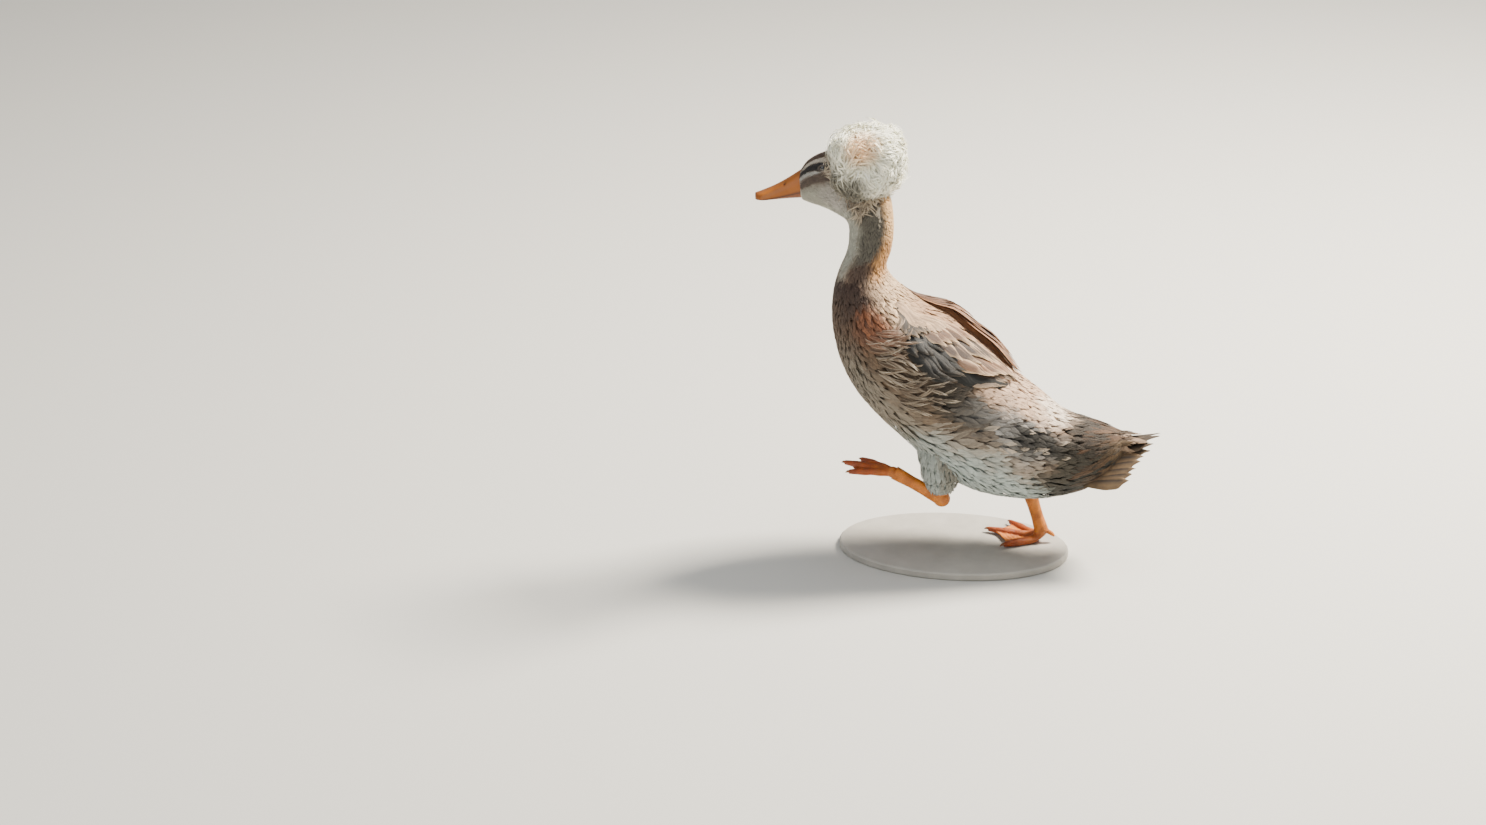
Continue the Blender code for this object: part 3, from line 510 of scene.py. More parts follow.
# A coat piece from vane arrays. tint is (vanes, rows, columns, 3) or broadcastable, and unwrap
# is each root's place on an unwrap of the skin, round which its patch of the baking map lies
def coatPiece(name, arrays, tint, unwrap, material):
    points, quads, caps, uv = arrays
    corners = np.concatenate([quads.ravel(), caps.ravel()])
    sizes = np.concatenate([np.full(len(quads), 4), np.full(len(caps), caps.shape[1])])
    piece = meshFromArrays(name, points.reshape(-1, 3), sizes, corners, material)
    mesh = piece.data
    paintPoints(mesh, "tint", np.broadcast_to(tint, points.shape).reshape(-1, 3))
    patch = 0.002 + 0.993 * np.clip(unwrap, 0, 1)[:, None, None] + 0.003 * (uv - 0.5) + 0.0015
    addMap(mesh, "OFBake", patch.reshape(-1, 2))
    addMap(mesh, "vane", uv.reshape(-1, 2))
    mesh.set_sharp_from_angle(angle=math.radians(60))
    triangles = len(quads) * 2 + len(caps) * (caps.shape[1] - 2)
    print(f"{name}: {len(points)} vanes, {triangles} triangles")
    return piece


# Body feathers
# Roots spread evenly over a part of a surface: a low discrepancy sequence is passed through
# the running total of area times density, first along the surface and then round it
def spreadRoots(surface, rangeA, rangeB, spacing, seed):
    steps = 240
    a, b = np.linspace(*rangeA, steps), np.linspace(*rangeB, steps)
    gridA, gridB = gridOf(a, b)
    stepA, stepB = surfaceSteps(surface, gridA, gridB)
    area = np.linalg.norm(np.cross(stepA, stepB), axis=-1)
    wanted = area / spacing(gridA, gridB) ** 2
    cell = (a[1] - a[0]) * (b[1] - b[0])
    count = int(wanted.sum() * cell)
    k = np.arange(count) + 1 + seed * 1000
    u1, u2 = (k * 0.7548776662466927) % 1, (k * 0.5698402909980532) % 1
    rowSum = wanted.sum(1)
    cumA = np.concatenate([[0], np.cumsum((rowSum[1:] + rowSum[:-1]) / 2)])
    rootA = np.interp(u1, cumA / cumA[-1], a)
    row = np.clip(((rootA - a[0]) / (a[1] - a[0])).round().astype(int), 0, steps - 1)
    cumB = np.concatenate([np.zeros((steps, 1)), np.cumsum((wanted[:, 1:] + wanted[:, :-1]) / 2, 1)], 1)
    cumB /= cumB[:, -1:]
    flat = (cumB + np.arange(steps)[:, None]).ravel()
    return rootA, np.interp(row + u2 * 0.999999, flat, np.tile(b, steps))


# Paths on a surface: from each root, steps of the given length along the lie, which is the
# angle from the first surface direction towards the second, and the bend times v^2 aside
def laidPaths(surface, a, b, lie, length, bend, lifts, rows):
    stepA, stepB = surfaceSteps(surface, a, b)
    first = unit(stepA)
    skew = (stepB * first).sum(-1)
    second = unit(stepB - first * skew[:, None])
    height = (stepB * second).sum(-1)
    v = np.linspace(0, 1, rows)
    ahead = length[:, None] * v
    aside = (bend * length)[:, None] * v**2
    x = ahead * np.cos(lie)[:, None] - aside * np.sin(lie)[:, None]
    y = ahead * np.sin(lie)[:, None] + aside * np.cos(lie)[:, None]
    moveB = y / height[:, None]
    moveA = (x - moveB * skew[:, None]) / np.linalg.norm(stepA, axis=-1)[:, None]
    atA, atB = a[:, None] + moveA, b[:, None] + moveB
    path = surface(atA, atB, lifts)
    e = 1e-3
    sideA = (surface(atA + e, atB, lifts) - path) / e
    sideB = (surface(atA, atB + e, lifts) - path) / e
    return path, unit(np.cross(sideA, sideB))


coat = {
    # the skin's depth inside the outline, in mm, at places s
    "depths": [
        (0, 0.4), (0.6, 0.9), (2, 1.4), (4, 2.2), (6, 2.6), (10, 3.2), (13, 4.2), (22, 4.4), (24, 3.4), (25, 2),
    ],
    # a feather's length in mm at places s, and how much longer and how turned it is at the flank
    "lengths": [
        (0, 2), (0.7, 2.6), (2, 3.6), (4, 5), (6, 6), (9, 8), (11, 12), (13, 16), (16, 20), (22, 20), (24, 22),
    ],
    "flank": (16.2, 96), "longer": 0.014, "turn": 33,
    "rows": 4, "columns": 2, "fan": 0.32, "droop": 0.0002, "thick": 0.00013, "fray": 0.12, "root": 0.93,
    "pale": tone(222, 206, 186),  # tips
    "flecks": ((19.4, 66), (1.7, 24), 0.15),  # place, radii and share of the feathers with pale tips
    "slot": "plumage_buff",
}


def coatDepth(s):
    return readTable(coat["depths"], s) / 1000


def featherLength(s, degrees):
    flank = smooth(1 - nearTo(s, degrees, coat["flank"], (3.6, 46)))
    return readTable(coat["lengths"], s) / 1000 + flank * coat["longer"]


def lieTurn(s, degrees):  # towards the back, so that the flank's feathers lie flatter than the trunk
    return -np.radians(coat["turn"]) * smooth(1.4 - nearTo(s, degrees, coat["flank"], (3.4, 50)))


# A coat piece of feathers, each a fan of strands from one root. A strand turns out by its
# share of the fan and bends back in, and the outer ones are shorter, so the tip is round.
# The lift goes from the skin up to the rise as 1 - (1 - v)^2.2. The plan holds, for each
# feather, its length, lie, bend, depth, rise, colour and fringe, and the strands' own sizes.
def layFeathers(name, surface, a, b, plan, unwrap, material, rng):
    strands, rows = plan["strands"], plan["rows"]
    owner = np.repeat(np.arange(len(a)), strands)
    count = len(owner)
    out = np.tile(np.linspace(-1, 1, strands) if strands > 1 else np.zeros(1), len(a))
    out = out + rng.normal(0, 0.12, count)
    length = plan["length"][owner] * (1 - 0.22 * out**2) * rng.uniform(0.82, 1.10, count)
    lie = plan["lie"][owner] + plan["fan"] * out
    bend = plan["bend"][owner] - 0.9 * plan["fan"] * out
    v = np.linspace(0, 1, rows)
    depth = plan["depth"][owner][:, None]
    rise = (plan["rise"][owner] * rng.uniform(0.75, 1.2, count) - plan["droop"] * out**2)[:, None]
    lifts = -depth + (depth + rise) * (1 - (1 - v) ** 2.2)
    path, normal = laidPaths(surface, a[owner], b[owner], lie, length, bend, lifts, rows)
    inside = surface(a[owner][:, None] + 0 * v, b[owner][:, None] + 0 * v, -0.02)
    normal *= np.sign(((path - inside) * normal).sum(-1).mean(1))[:, None, None]
    across = unit(np.cross(unit(np.gradient(path, axis=1)), normal))
    profile = np.sqrt(np.clip(v, 0.06, 1)) * (1 - 0.74 * smooth((v - 0.55) / 0.45))
    half = (length * plan["width"] * rng.uniform(0.8, 1.2, count))[:, None] * profile
    arrays = vaneArrays(path, across, normal, half, plan["columns"], plan["thick"], 0.2,
                        rng.normal(0, 0.09, count), np.full(count, plan["fray"]), rng)
    shade = plan["colour"][owner] * rng.uniform(0.90, 1.08, count)[:, None]
    heart = (1 - plan["heart"][owner] * np.clip(1 - np.abs(out), 0, 1))[:, None]
    pale = 0.45 * np.abs(out)[:, None] + 0.75 * smooth((v - 0.55) / 0.4)[None]
    pale = np.clip(plan["fringe"][owner][:, None] * pale, 0, 1)[..., None]
    level = (plan["root"] + (1.04 - plan["root"]) * smooth(v / 0.7))[None, :, None]
    edge = np.broadcast_to(plan["edge"], plan["colour"].shape)[owner][:, None]
    tint = layOver((shade * heart)[:, None] * level, edge, pale)
    piece = coatPiece(name, arrays, tint[:, :, None], unwrap[owner], material)
    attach(piece, "root")
    return piece


# Evenly spread feathers on a part of the trunk, whose spacing is their length times the closeness
def coatZone(name, rangeS, rangeDegrees, closeness, strands, width, seed, material):
    rng = np.random.default_rng(seed)

    def spacing(s, angle):
        return featherLength(s, np.abs(np.degrees(angle))) * closeness

    s, angle = spreadRoots(trunkPoint, rangeS, np.radians(rangeDegrees), spacing, seed)
    count = len(s)
    degrees = np.abs(np.degrees(angle))
    length = featherLength(s, degrees) * rng.uniform(0.85, 1.15, count)
    place = s + 0.5 * length / 0.028
    middle = trunkPoint(place, angle)
    flank = smooth(1.3 - nearTo(s, degrees, (15.8, 98), (3.0, 44)))
    bright = 1 + np.clip(rng.normal(0, 1, count), -1.8, 1.8) * speckleAt(place, angle)
    spot, radii, share = coat["flecks"]
    flecked = rng.random((count, 1)) < share * smooth(1.4 - nearTo(place, degrees, spot, radii))[:, None]
    colour = plumageAt(place, angle, middle) * bright[:, None]
    loose = 0.0003 + 0.0003 * flank + 0.0004 * smooth((s - 17) / 2) * smooth((degrees - 110) / 40)
    plan = {
        **coat, "strands": strands, "width": width,
        "length": length, "lie": lieTurn(s, degrees) * np.sign(angle) + rng.normal(0, 0.15, count),
        "bend": rng.normal(0, 0.12, count) - 0.16 * flank * np.sign(angle),
        "depth": coatDepth(s) * 1.1, "rise": rng.uniform(0.1, 1.0, count) * loose,
        "colour": colour, "heart": 0.08 + 0.08 * flank,
        "fringe": np.where(flecked[:, 0], 0.9, 0.10 + 0.16 * flank),
        "edge": np.where(flecked, coat["pale"], 0.3 * coat["pale"] + 0.7 * np.minimum(colour * 1.6, 0.8)),
    }
    unwrap = np.stack([(s - rangeS[0]) / np.ptp(rangeS),
                       (np.degrees(angle) - rangeDegrees[0]) / np.ptp(rangeDegrees)], -1)
    layFeathers(name, trunkPoint, s, angle, plan, unwrap, material, rng)


# lines along a vane, their contrast, mottling, roughness, sheen, bump
bodyFeather = featherMaterial("bodyFeather", 46.0, 0.24, 0.6, 0.75, 0.08, 0.4)
fineFeather = featherMaterial("fineFeather", 26.0, 0.22, 0.7, 0.8, 0.1, 0.35)
quillFeather = featherMaterial("quillFeather", 150.0, 0.3, 0.6, 0.6, 0.05, 0.5)
crestFeather = featherMaterial("crestFeather", 20.0, 0.05, 0.2, 0.9, 0.3, 0.1)

# s, degrees, spacing over length, strands, a strand's width over its length, seed, finish
zones = [
    ("coatFace", (0.05, 3.0), (-180, 180), 0.46, 1, 0.27, 1, fineFeather),
    ("coatHead", (3.0, 6.6), (-180, 180), 0.36, 1, 0.26, 2, fineFeather),
    ("coatNeck", (6.2, 11.0), (-180, 180), 0.27, 1, 0.23, 3, fineFeather),
    ("coatBreastLeft", (10.6, 15.6), (0, 180), 0.33, 5, 0.15, 4, bodyFeather),
    ("coatBreastRight", (10.6, 15.6), (-180, 0), 0.33, 5, 0.15, 5, bodyFeather),
    ("coatFlankLeft", (15.2, 22.0), (0, 180), 0.32, 5, 0.145, 6, bodyFeather),
    ("coatFlankRight", (15.2, 22.0), (-180, 0), 0.32, 5, 0.145, 7, bodyFeather),
    ("coatRear", (21.6, 24.9), (-180, 180), 0.28, 5, 0.135, 8, bodyFeather),
]
for zone in zones:
    coatZone(*zone)
print("body feathers done")


flankTips = {
    "count": 80, "s": (12.8, 16.0), "degrees": (78, 108), "lengths": (0.024, 0.038),
    "up": 46, "rises": (0.0045, 0.0085),  # degrees that they lean up by, and how far the tips stand off
    "strands": 5, "rows": 6, "columns": 2, "width": 0.045, "fan": 0.16, "droop": 0.0006,
    "thick": 0.00014, "fray": 0.2, "root": 0.9, "edge": tone(226, 212, 192), "slot": "plumage_buff",
}


# Loose curved feathers at the front of each flank, whose pale tips lie over the wing's edge
def makeFlankTips(side, name, seed):
    rng = np.random.default_rng(seed)
    count = flankTips["count"]
    s = rng.uniform(*flankTips["s"], count)
    angle = np.radians(rng.uniform(*flankTips["degrees"], count)) * side
    plan = {
        **flankTips, "length": rng.uniform(*flankTips["lengths"], count),
        "lie": (-np.radians(flankTips["up"]) + rng.normal(0, 0.16, count)) * side,
        "bend": rng.normal(-0.08, 0.22, count) * side,
        "depth": np.full(count, 0.002), "rise": rng.uniform(*flankTips["rises"], count),
        "colour": plumageAt(s, angle, trunkPoint(s, angle)) * rng.uniform(0.9, 1.15, count)[:, None],
        "heart": np.full(count, 0.1), "fringe": rng.uniform(0.3, 1.0, count),
    }
    unwrap = np.stack([(s - 12) / 5, np.abs(angle) / math.pi], -1)
    layFeathers(name, trunkPoint, s, angle, plan, unwrap, bodyFeather, rng)


makeFlankTips(1, "flankTipsLeft", 11)
makeFlankTips(-1, "flankTipsRight", 12)


thighCoats = {
    "start": {"left": 0.0, "right": 0.25}, "end": 0.97,  # along the thigh
    "spacing": (0.0048, 0.0029), "lengths": (0.0180, 0.0075),  # at the belly and at the hock
    "strands": 3, "rows": 4, "columns": 2, "width": 0.17, "fan": 0.26, "droop": 0.0002,
    "thick": 0.00014, "fray": 0.15, "root": 0.88, "slot": "plumage_buff",
    # pale is the thighs' own pale colour, painted darker and greenish as painted shade and a painted reflection
    # of green; brown is painted shade
    "pale": tone(178, 186, 180), "brown": tone(118, 108, 92), "edge": tone(236, 230, 220),
}


# Thigh feathers, browner at the back as painted shade where the thigh meets the belly, its edge moved by slow
# random variation
def thighCoat(side, seed):
    rng = np.random.default_rng(seed)

    def surface(a, angle, lift=0.0):
        return thighPoint(side, a, angle, lift)

    def spacing(a, angle):
        return between(thighCoats["spacing"], smooth(a)) * np.ones_like(angle)

    start, end = thighCoats["start"][side], thighCoats["end"]
    a, angle = spreadRoots(surface, (start, end), (-math.pi, math.pi), spacing, seed)
    count = len(a)
    middle = surface(a, angle)
    back = (middle[:, 0] - np.interp(a, np.linspace(0, 1, 5), thighs[side][:, 0])) / 0.012
    # painted shade: brown laid over the back of the thigh
    mix = (smooth(0.35 + back + 0.4 * drift(middle, 0.02, 9)) * 0.75 * smooth(1.3 - a))[:, None]
    colour = layOver(thighCoats["pale"], thighCoats["brown"], mix)
    plan = {
        **thighCoats, "length": between(thighCoats["lengths"], smooth(a)) * rng.uniform(0.7, 1.2, count),
        "lie": rng.normal(0, 0.16, count), "bend": rng.normal(0, 0.1, count),
        "depth": np.full(count, 0.0028), "rise": rng.uniform(0.0, 0.0018, count),
        "colour": colour * rng.uniform(0.92, 1.06, count)[:, None],
        "heart": np.full(count, 0.08), "fringe": np.full(count, 0.15),
    }
    unwrap = np.stack([(a - start) / (end - start), angle / (2 * math.pi) + 0.5], -1)
    name = "thighCoat" + side.capitalize()
    piece = layFeathers(name, surface, a, angle, plan, unwrap, bodyFeather, rng)
    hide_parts("thigh_" + side)


for side, seed in (("left", 21), ("right", 22)):
    thighCoat(side, seed)


underSkin = {"voxel": 0.0018, "inside": 0.0030, "darker": 0.95}  # remesh size, depth on the thighs, shade


# The skin: the trunk's inner surface and the thighs' made one by a fine remesh
def skinGrids():
    s, angle = gridOf(np.linspace(0.0, 24.9, 150), roundTurn(64))
    a, around = gridOf(np.linspace(0, 1, 30), roundTurn(32))
    thighTubes = [thighPoint(side, a, around, -underSkin["inside"]) for side in ("left", "right")]
    return [trunkPoint(s, angle, -coatDepth(s)), *thighTubes]


def joinByVoxels(piece, size):
    remesh = piece.modifiers.new("join", "REMESH")
    remesh.mode = "VOXEL"
    remesh.voxel_size = size
    remesh.use_smooth_shade = True


def applyModifiers(piece):
    graph = bpy.context.evaluated_depsgraph_get()
    fresh = bpy.data.meshes.new_from_object(piece.evaluated_get(graph))
    piece.modifiers.clear()
    old, piece.data = piece.data, fresh
    bpy.data.meshes.remove(old)
    piece.data.name = piece.name


def pointsOf(mesh):
    flat = np.empty(len(mesh.vertices) * 3, np.float32)
    mesh.vertices.foreach_get("co", flat)
    return flat.reshape(-1, 3).astype(float)


# The place on the trunk of points near it: the section whose plane passes closest, and the
# angle from the point's share of that section's height and width
def placeOf(points):
    s = np.linspace(0, 25, 251)
    row = trunkRow(s)
    up = np.stack([row[:, 0] - row[:, 2], row[:, 1] - row[:, 3]], -1)
    height = np.linalg.norm(up, axis=-1) / 2
    up /= 2 * height[:, None]
    flat = points[:, [0, 2]] - np.array([0, soleHeight])
    middle = np.stack([(row[:, 0] + row[:, 2]) / 2, (row[:, 1] + row[:, 3]) / 2], -1)
    offset = flat[:, None] - middle[None]
    along = np.abs(offset[..., 0] * up[:, 1] - offset[..., 1] * up[:, 0])
    rise = (offset * up).sum(-1) / height
    side = -points[:, 1:2] / row[:, 4]
    best = np.argmin(along / 0.01 + 3 * np.maximum(np.hypot(rise, side) - 1.05, 0), 1)
    k = np.arange(len(points))
    return s[best], np.arctan2(side[k, best], rise[k, best])


def makeSkin():
    material, tree, shader = makeMaterial("skinUnderFeathers", Roughness=0.85)
    tree.links.new(tintOf(tree), shader.inputs["Base Color"])
    bumpBy(tree, shader, grainOf(tree, 600.0, 3.0), 0.4, 0.0004)
    skin = meshFromArrays("skin", *joinGrids(skinGrids()), material)
    joinByVoxels(skin, underSkin["voxel"])
    applyModifiers(skin)
    places = pointsOf(skin.data)
    s, angle = placeOf(places)
    paintPoints(skin.data, "tint", plumageAt(s, angle, places) * underSkin["darker"])
    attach(skin, "root")
    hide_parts("head", "neck", "torso")


makeSkin()
print("skin done")


# Folded wings
wing = {
    "start": 12.6, "end": 17.2,
    "low": [(0.0, 42), (0.14, 64), (0.34, 72), (0.54, 71), (0.72, 59), (0.88, 38), (1.0, 20)],
    "high": [(0.0, 30), (0.2, 17), (0.5, 10), (1.0, 6)],
    "slate": tone(36, 37, 35), "mauve": tone(146, 128, 110), "dusk": tone(84, 70, 56),
    "brown": tone(96, 70, 50), "scapular": tone(148, 110, 78), "mantle": tone(214, 182, 148),
    "fringe": tone(236, 208, 174), "rust": tone(190, 122, 74),
    "bulge": {1: 0.0015, -1: 0.0080},  # how much higher the middle of each wing stands
    "rows": 11, "columns": 8, "thick": 0.00035, "camber": 0.16, "seed": {1: 31, -1: 32},
    # count, first and last place down the wing, root, first and last tip, half width, height of
    # the tips, how much higher each lies than the one below, bluntness, shade, fringe strength
    "tiers": [
        (10, (0.04, 0.78), 0.48, (1.00, 0.92), 0.0064, 0.0016, 0.0002, 0.35, "mauve", 0.35),
        (11, (0.10, 0.98), 0.26, (0.60, 0.70), 0.0064, 0.0030, 0.0003, 0.60, "slate", 0.10),
        (10, (0.30, 0.98), 0.12, (0.54, 0.60), 0.0064, 0.0044, 0.0, 0.75, "slate", 0.05),
        (10, (0.38, 0.97), 0.02, (0.44, 0.37), 0.0062, 0.0054, 0.0, 0.8, "slate", 0.08),
        (9, (0.40, 0.96), -0.06, (0.25, 0.20), 0.0058, 0.0060, 0.0, 0.8, "dusk", 0.4),
        (9, (0.00, 0.56), 0.30, (1.02, 0.78), 0.0066, 0.0062, 0.0004, 0.5, "scapular", 1.1),
        (8, (0.00, 0.50), 0.16, (0.80, 0.60), 0.0068, 0.0070, 0.0004, 0.5, "brown", 1.2),
        (8, (0.02, 0.50), 0.0, (0.58, 0.38), 0.0066, 0.0076, 0.0004, 0.6, "scapular", 1.1),
        (10, (0.04, 0.50), -0.08, (0.36, 0.20), 0.0054, 0.0078, 0.0002, 0.7, "mantle", 0.7),
        (6, (0.46, 0.84), -0.08, (0.26, 0.18), 0.0054, 0.0076, 0.0002, 0.7, "dusk", 0.5),
        (9, (0.04, 0.60), -0.12, (0.22, 0.12), 0.0050, 0.0080, 0.0002, 0.7, "mantle", 0.5),
    ],
}


def eased(table, u):  # a table of pairs read at u, eased between its rows
    xs, ys = np.array(table).T
    k = np.clip(np.searchsorted(xs, u) - 1, 0, len(xs) - 2)
    t = smooth((u - xs[k]) / (xs[k + 1] - xs[k]))
    return ys[k] * (1 - t) + ys[k + 1] * t


def wingBulge(u, mirror):  # none at the shoulder and the tip, full in the middle
    return wing["bulge"][mirror] * smooth(u / 0.30) * smooth((1.02 - u) / 0.40)


def wingPlace(u, v):  # from shoulder to tip and from the wing's upper edge to its lower one
    edges = eased(wing["high"], u), eased(wing["low"], u)
    return between((wing["start"], wing["end"]), u), np.radians(between(edges, v))


# The closed body of a wing under its feathers: the wing's outline raised in the middle by the
# root of the sine across it, and let in at the underside
def makeWingCore(mirror, name, node):
    u, v = gridOf(np.linspace(0, 1, 48), np.linspace(0, 1, 25))
    s, angle = wingPlace(u * 0.97 + 0.005, 0.02 + 0.95 * v)
    swell = np.sqrt(np.clip(np.sin(math.pi * v) * smooth(u / 0.12) * smooth((1 - u) / 0.1), 0, 1))
    top = trunkPoint(s, angle, -0.0020 + 0.0050 * swell + wingBulge(u, mirror))
    low = trunkPoint(s, angle, -0.0032)
    grid = np.concatenate([top, low[:, ::-1]], 1) * np.array([1, mirror, 1])
    core = meshFromArrays(name, *joinGrids([grid], turned=mirror > 0), fineFeather)
    down = smooth((np.concatenate([v, v[:, ::-1]], 1) - 0.3) / 0.4).reshape(-1, 1)
    paintPoints(core.data, "tint", layOver(wing["scapular"], wing["slate"], down))
    barbs = np.stack(gridOf(np.linspace(0, 4, grid.shape[0]), np.linspace(0, 9, grid.shape[1])), -1)
    addMap(core.data, "vane", barbs.reshape(-1, 2))
    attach(core, "root")
    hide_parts(node)


# The vanes of a wing, tier by tier. w goes from a vane's root to its tip, which rises from the
# core by the tier's height. Its half width is the root of an eased ramp, narrowed at the tip.
def wingVanes(mirror, rng):
    w = np.linspace(0, 1, wing["rows"])
    paths, normals, halves, tints, tilts, roots = [], [], [], [], [], []
    for count, down, root, tips, half, lift, stack, blunt, shade, fringe in wing["tiers"]:
        t = np.linspace(0, 1, count)
        v = between(down, t) + rng.uniform(-0.02, 0.02, count)
        tip = between(tips, t) + rng.uniform(-0.035, 0.035, count)
        start = root + rng.uniform(-0.02, 0.02, count)
        u = start[:, None] + (tip - start)[:, None] * w
        sway = rng.uniform(-0.05, 0.05, count)[:, None] * w**2
        s, angle = wingPlace(u, v[:, None] + sway)
        end = lift + stack * (count - 1 - np.arange(count)) + rng.uniform(-0.0006, 0.0006, count)
        end = (end * (0.45 + 0.55 * smooth(v / 0.35)))[:, None]
        lifts = between((0.0004, end), smooth(w / 0.9)) * (0.4 + 0.6 * smooth((u + 0.1) / 0.35))
        profile = np.sqrt(smooth(w / 0.30 + 0.15)) * (1 - (1 - 0.5 * blunt) * smooth((w - 0.66) / 0.34) ** 1.5)
        if mirror < 0 and shade == "mantle":  # the far wing is darker at its shoulder
            shade = "brown"
        colour = wing[shade] * rng.uniform(0.66, 1.30, count)[:, None]
        paths.append(trunkPoint(s, angle, lifts + wingBulge(u, mirror)))
        normals.append(trunkNormal(s, angle))
        halves.append(half * profile[None] * rng.uniform(0.9, 1.1, count)[:, None])
        tints.append(np.concatenate([colour, fringe * rng.uniform(0.6, 1.1, (count, 1))], 1))
        tilts.append(rng.normal(0.10, 0.07, count))
        roots.append(np.stack([u[:, 0], v], -1))
    return [np.concatenate(rows) for rows in (paths, normals, halves, tints, tilts, roots)]


# A wing's feathers, pale at their edges and ends and darker along the shaft
def makeWing(mirror, name, node):
    rng = np.random.default_rng(wing["seed"][mirror])
    w = np.linspace(0, 1, wing["rows"])
    path, normal, half, tint, tilt, root = wingVanes(mirror, rng)
    across = unit(np.cross(normal, unit(np.gradient(path, axis=1))))
    flip = np.array([1, mirror, 1])
    path, normal, across = path * flip, normal * flip, across * flip * mirror
    arrays = vaneArrays(path, across, normal, half, wing["columns"], wing["thick"], wing["camber"],
                        tilt * mirror, rng.uniform(0.03, 0.09, len(path)), rng)
    u = np.abs(arrays[3][0, 0, :, 0] * 2 - 1)
    edge = np.maximum(smooth((u[None] - 0.60) / 0.35), smooth((w[:, None] - 0.84) / 0.16))[None, ..., None]
    colour = tint[:, None, None, :3] * (0.84 + 0.20 * w)[None, :, None, None]
    shaft = (0.40 * smooth(1 - u / 0.8))[None, None, :, None]
    amount = np.minimum(edge * tint[:, None, None, 3:], 1)
    rim = wing["fringe"] if mirror > 0 else 0.3 * wing["fringe"] + 0.7 * wing["rust"]
    colour = layOver(colour * (1 - shaft), rim, amount)
    piece = coatPiece(name, arrays, colour, np.clip(root * 0.9 + 0.05, 0, 1), quillFeather)
    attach(piece, "root")
    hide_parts(node)


for mirror, side in ((1, "left"), (-1, "right")):
    makeWingCore(mirror, "wingCore" + side.capitalize(), "wing_" + side)
    makeWing(mirror, "wing" + side.capitalize(), "wing_" + side)
print("wings done")


# Tail
tail = {
    "feathers": 16, "root": np.array([0.1500, 0.0, 0.1410]), "tip": np.array([0.2380, 0.0, 0.1575]),
    "sideRoot": np.array([0.1480, 0.0250, 0.1090]), "sideTip": np.array([0.2000, 0.0400, 0.1190]),
    "tilt": 0.85, "steps": [0, 0.5, 0.82, 1], "halves": [0.0070, 0.0104, 0.0090, 0.0018],
    "rows": 14, "columns": 8, "thick": 0.0004, "camber": 0.12, "seed": 41,
    # buff and fringe, on the side feathers' edges, are the tail's own darkish buff, painted darker still as
    # painted shade
    "brown": tone(74, 60, 46), "buff": tone(116, 96, 68), "fringe": tone(156, 128, 92),
}


# Tail feathers as a wedge like a roof: root and tip go from the middle feather's to the side
# feather's by each one's share, and every feather lies a little below the one inside it
def makeTail():
    rng = np.random.default_rng(tail["seed"])
    count = tail["feathers"]
    w = np.linspace(0, 1, tail["rows"])
    share = np.linspace(-1, 1, count)
    out = np.abs(share)[:, None]
    flip = np.stack([1 + 0 * share, np.sign(share), 1 + 0 * share], -1)
    root = between((tail["root"], tail["sideRoot"]), out) * flip
    tip = between((tail["tip"], tail["sideTip"]), out**0.85) * flip
    tip += rng.uniform(-0.0015, 0.0015, (count, 3)) * np.minimum(out * 3, 1)
    path = between((root[:, None], tip[:, None]), w[None, :, None])
    path[..., 2] += 0.004 * (w**2 - w) - 0.0075 * out + soleHeight
    slope = -np.sign(share) * tail["tilt"] * np.minimum(out[:, 0] / 0.4, 1)
    across = np.stack([0 * share, 1 + 0 * share, slope], -1)
    along = unit(np.gradient(path, axis=1))
    across = unit(across[:, None] - along * (across[:, None] * along).sum(-1, keepdims=True))
    normal = np.cross(across, along)
    normal *= np.sign(normal[..., 2:3])
    half = np.interp(w, tail["steps"], tail["halves"])[None] * rng.uniform(0.92, 1.08, (count, 1))
    arrays = vaneArrays(path, across, normal, half, tail["columns"], tail["thick"], tail["camber"],
                        -0.10 * share, rng.uniform(0.02, 0.07, count), rng)
    u = np.abs(arrays[3][0, 0, :, 0] * 2 - 1)
    start = (0.30 - 0.26 * smooth(out / 0.5))[..., None]
    edge = np.maximum(smooth((u - start) / 0.4), smooth((w[:, None] - 0.80) / 0.2))[..., None]
    edge = edge * (0.15 + 0.75 * smooth(out / 0.6))[..., None, None]
    colour = (tail["brown"] * rng.uniform(0.85, 1.1, (count, 1)))[:, None, None] + 0 * edge
    colour = layOver(colour, layOver(tail["buff"], tail["fringe"], w[:, None, None]), edge)
    unwrap = np.stack([share * 0.5 + 0.5, 0 * share + 0.5], -1)
    piece = coatPiece("tailFeathers", arrays, colour, unwrap, quillFeather)
    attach(piece, "root")
    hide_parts("tail")


makeTail()


coverts = {
    "count": 290, "s": (21.6, 24.6), "degrees": (-175, 175), "lengths": (0.016, 0.038), "seed": 42,
    "strands": 5, "rows": 5, "columns": 2, "width": 0.070, "fan": 0.17, "droop": 0.0003,
    "thick": 0.00014, "fray": 0.15, "root": 0.9, "slot": "plumage_brown",
    "brown": tone(62, 50, 36), "rust": tone(98, 70, 44), "buff": tone(104, 86, 60), "edge": tone(178, 144, 106),
}


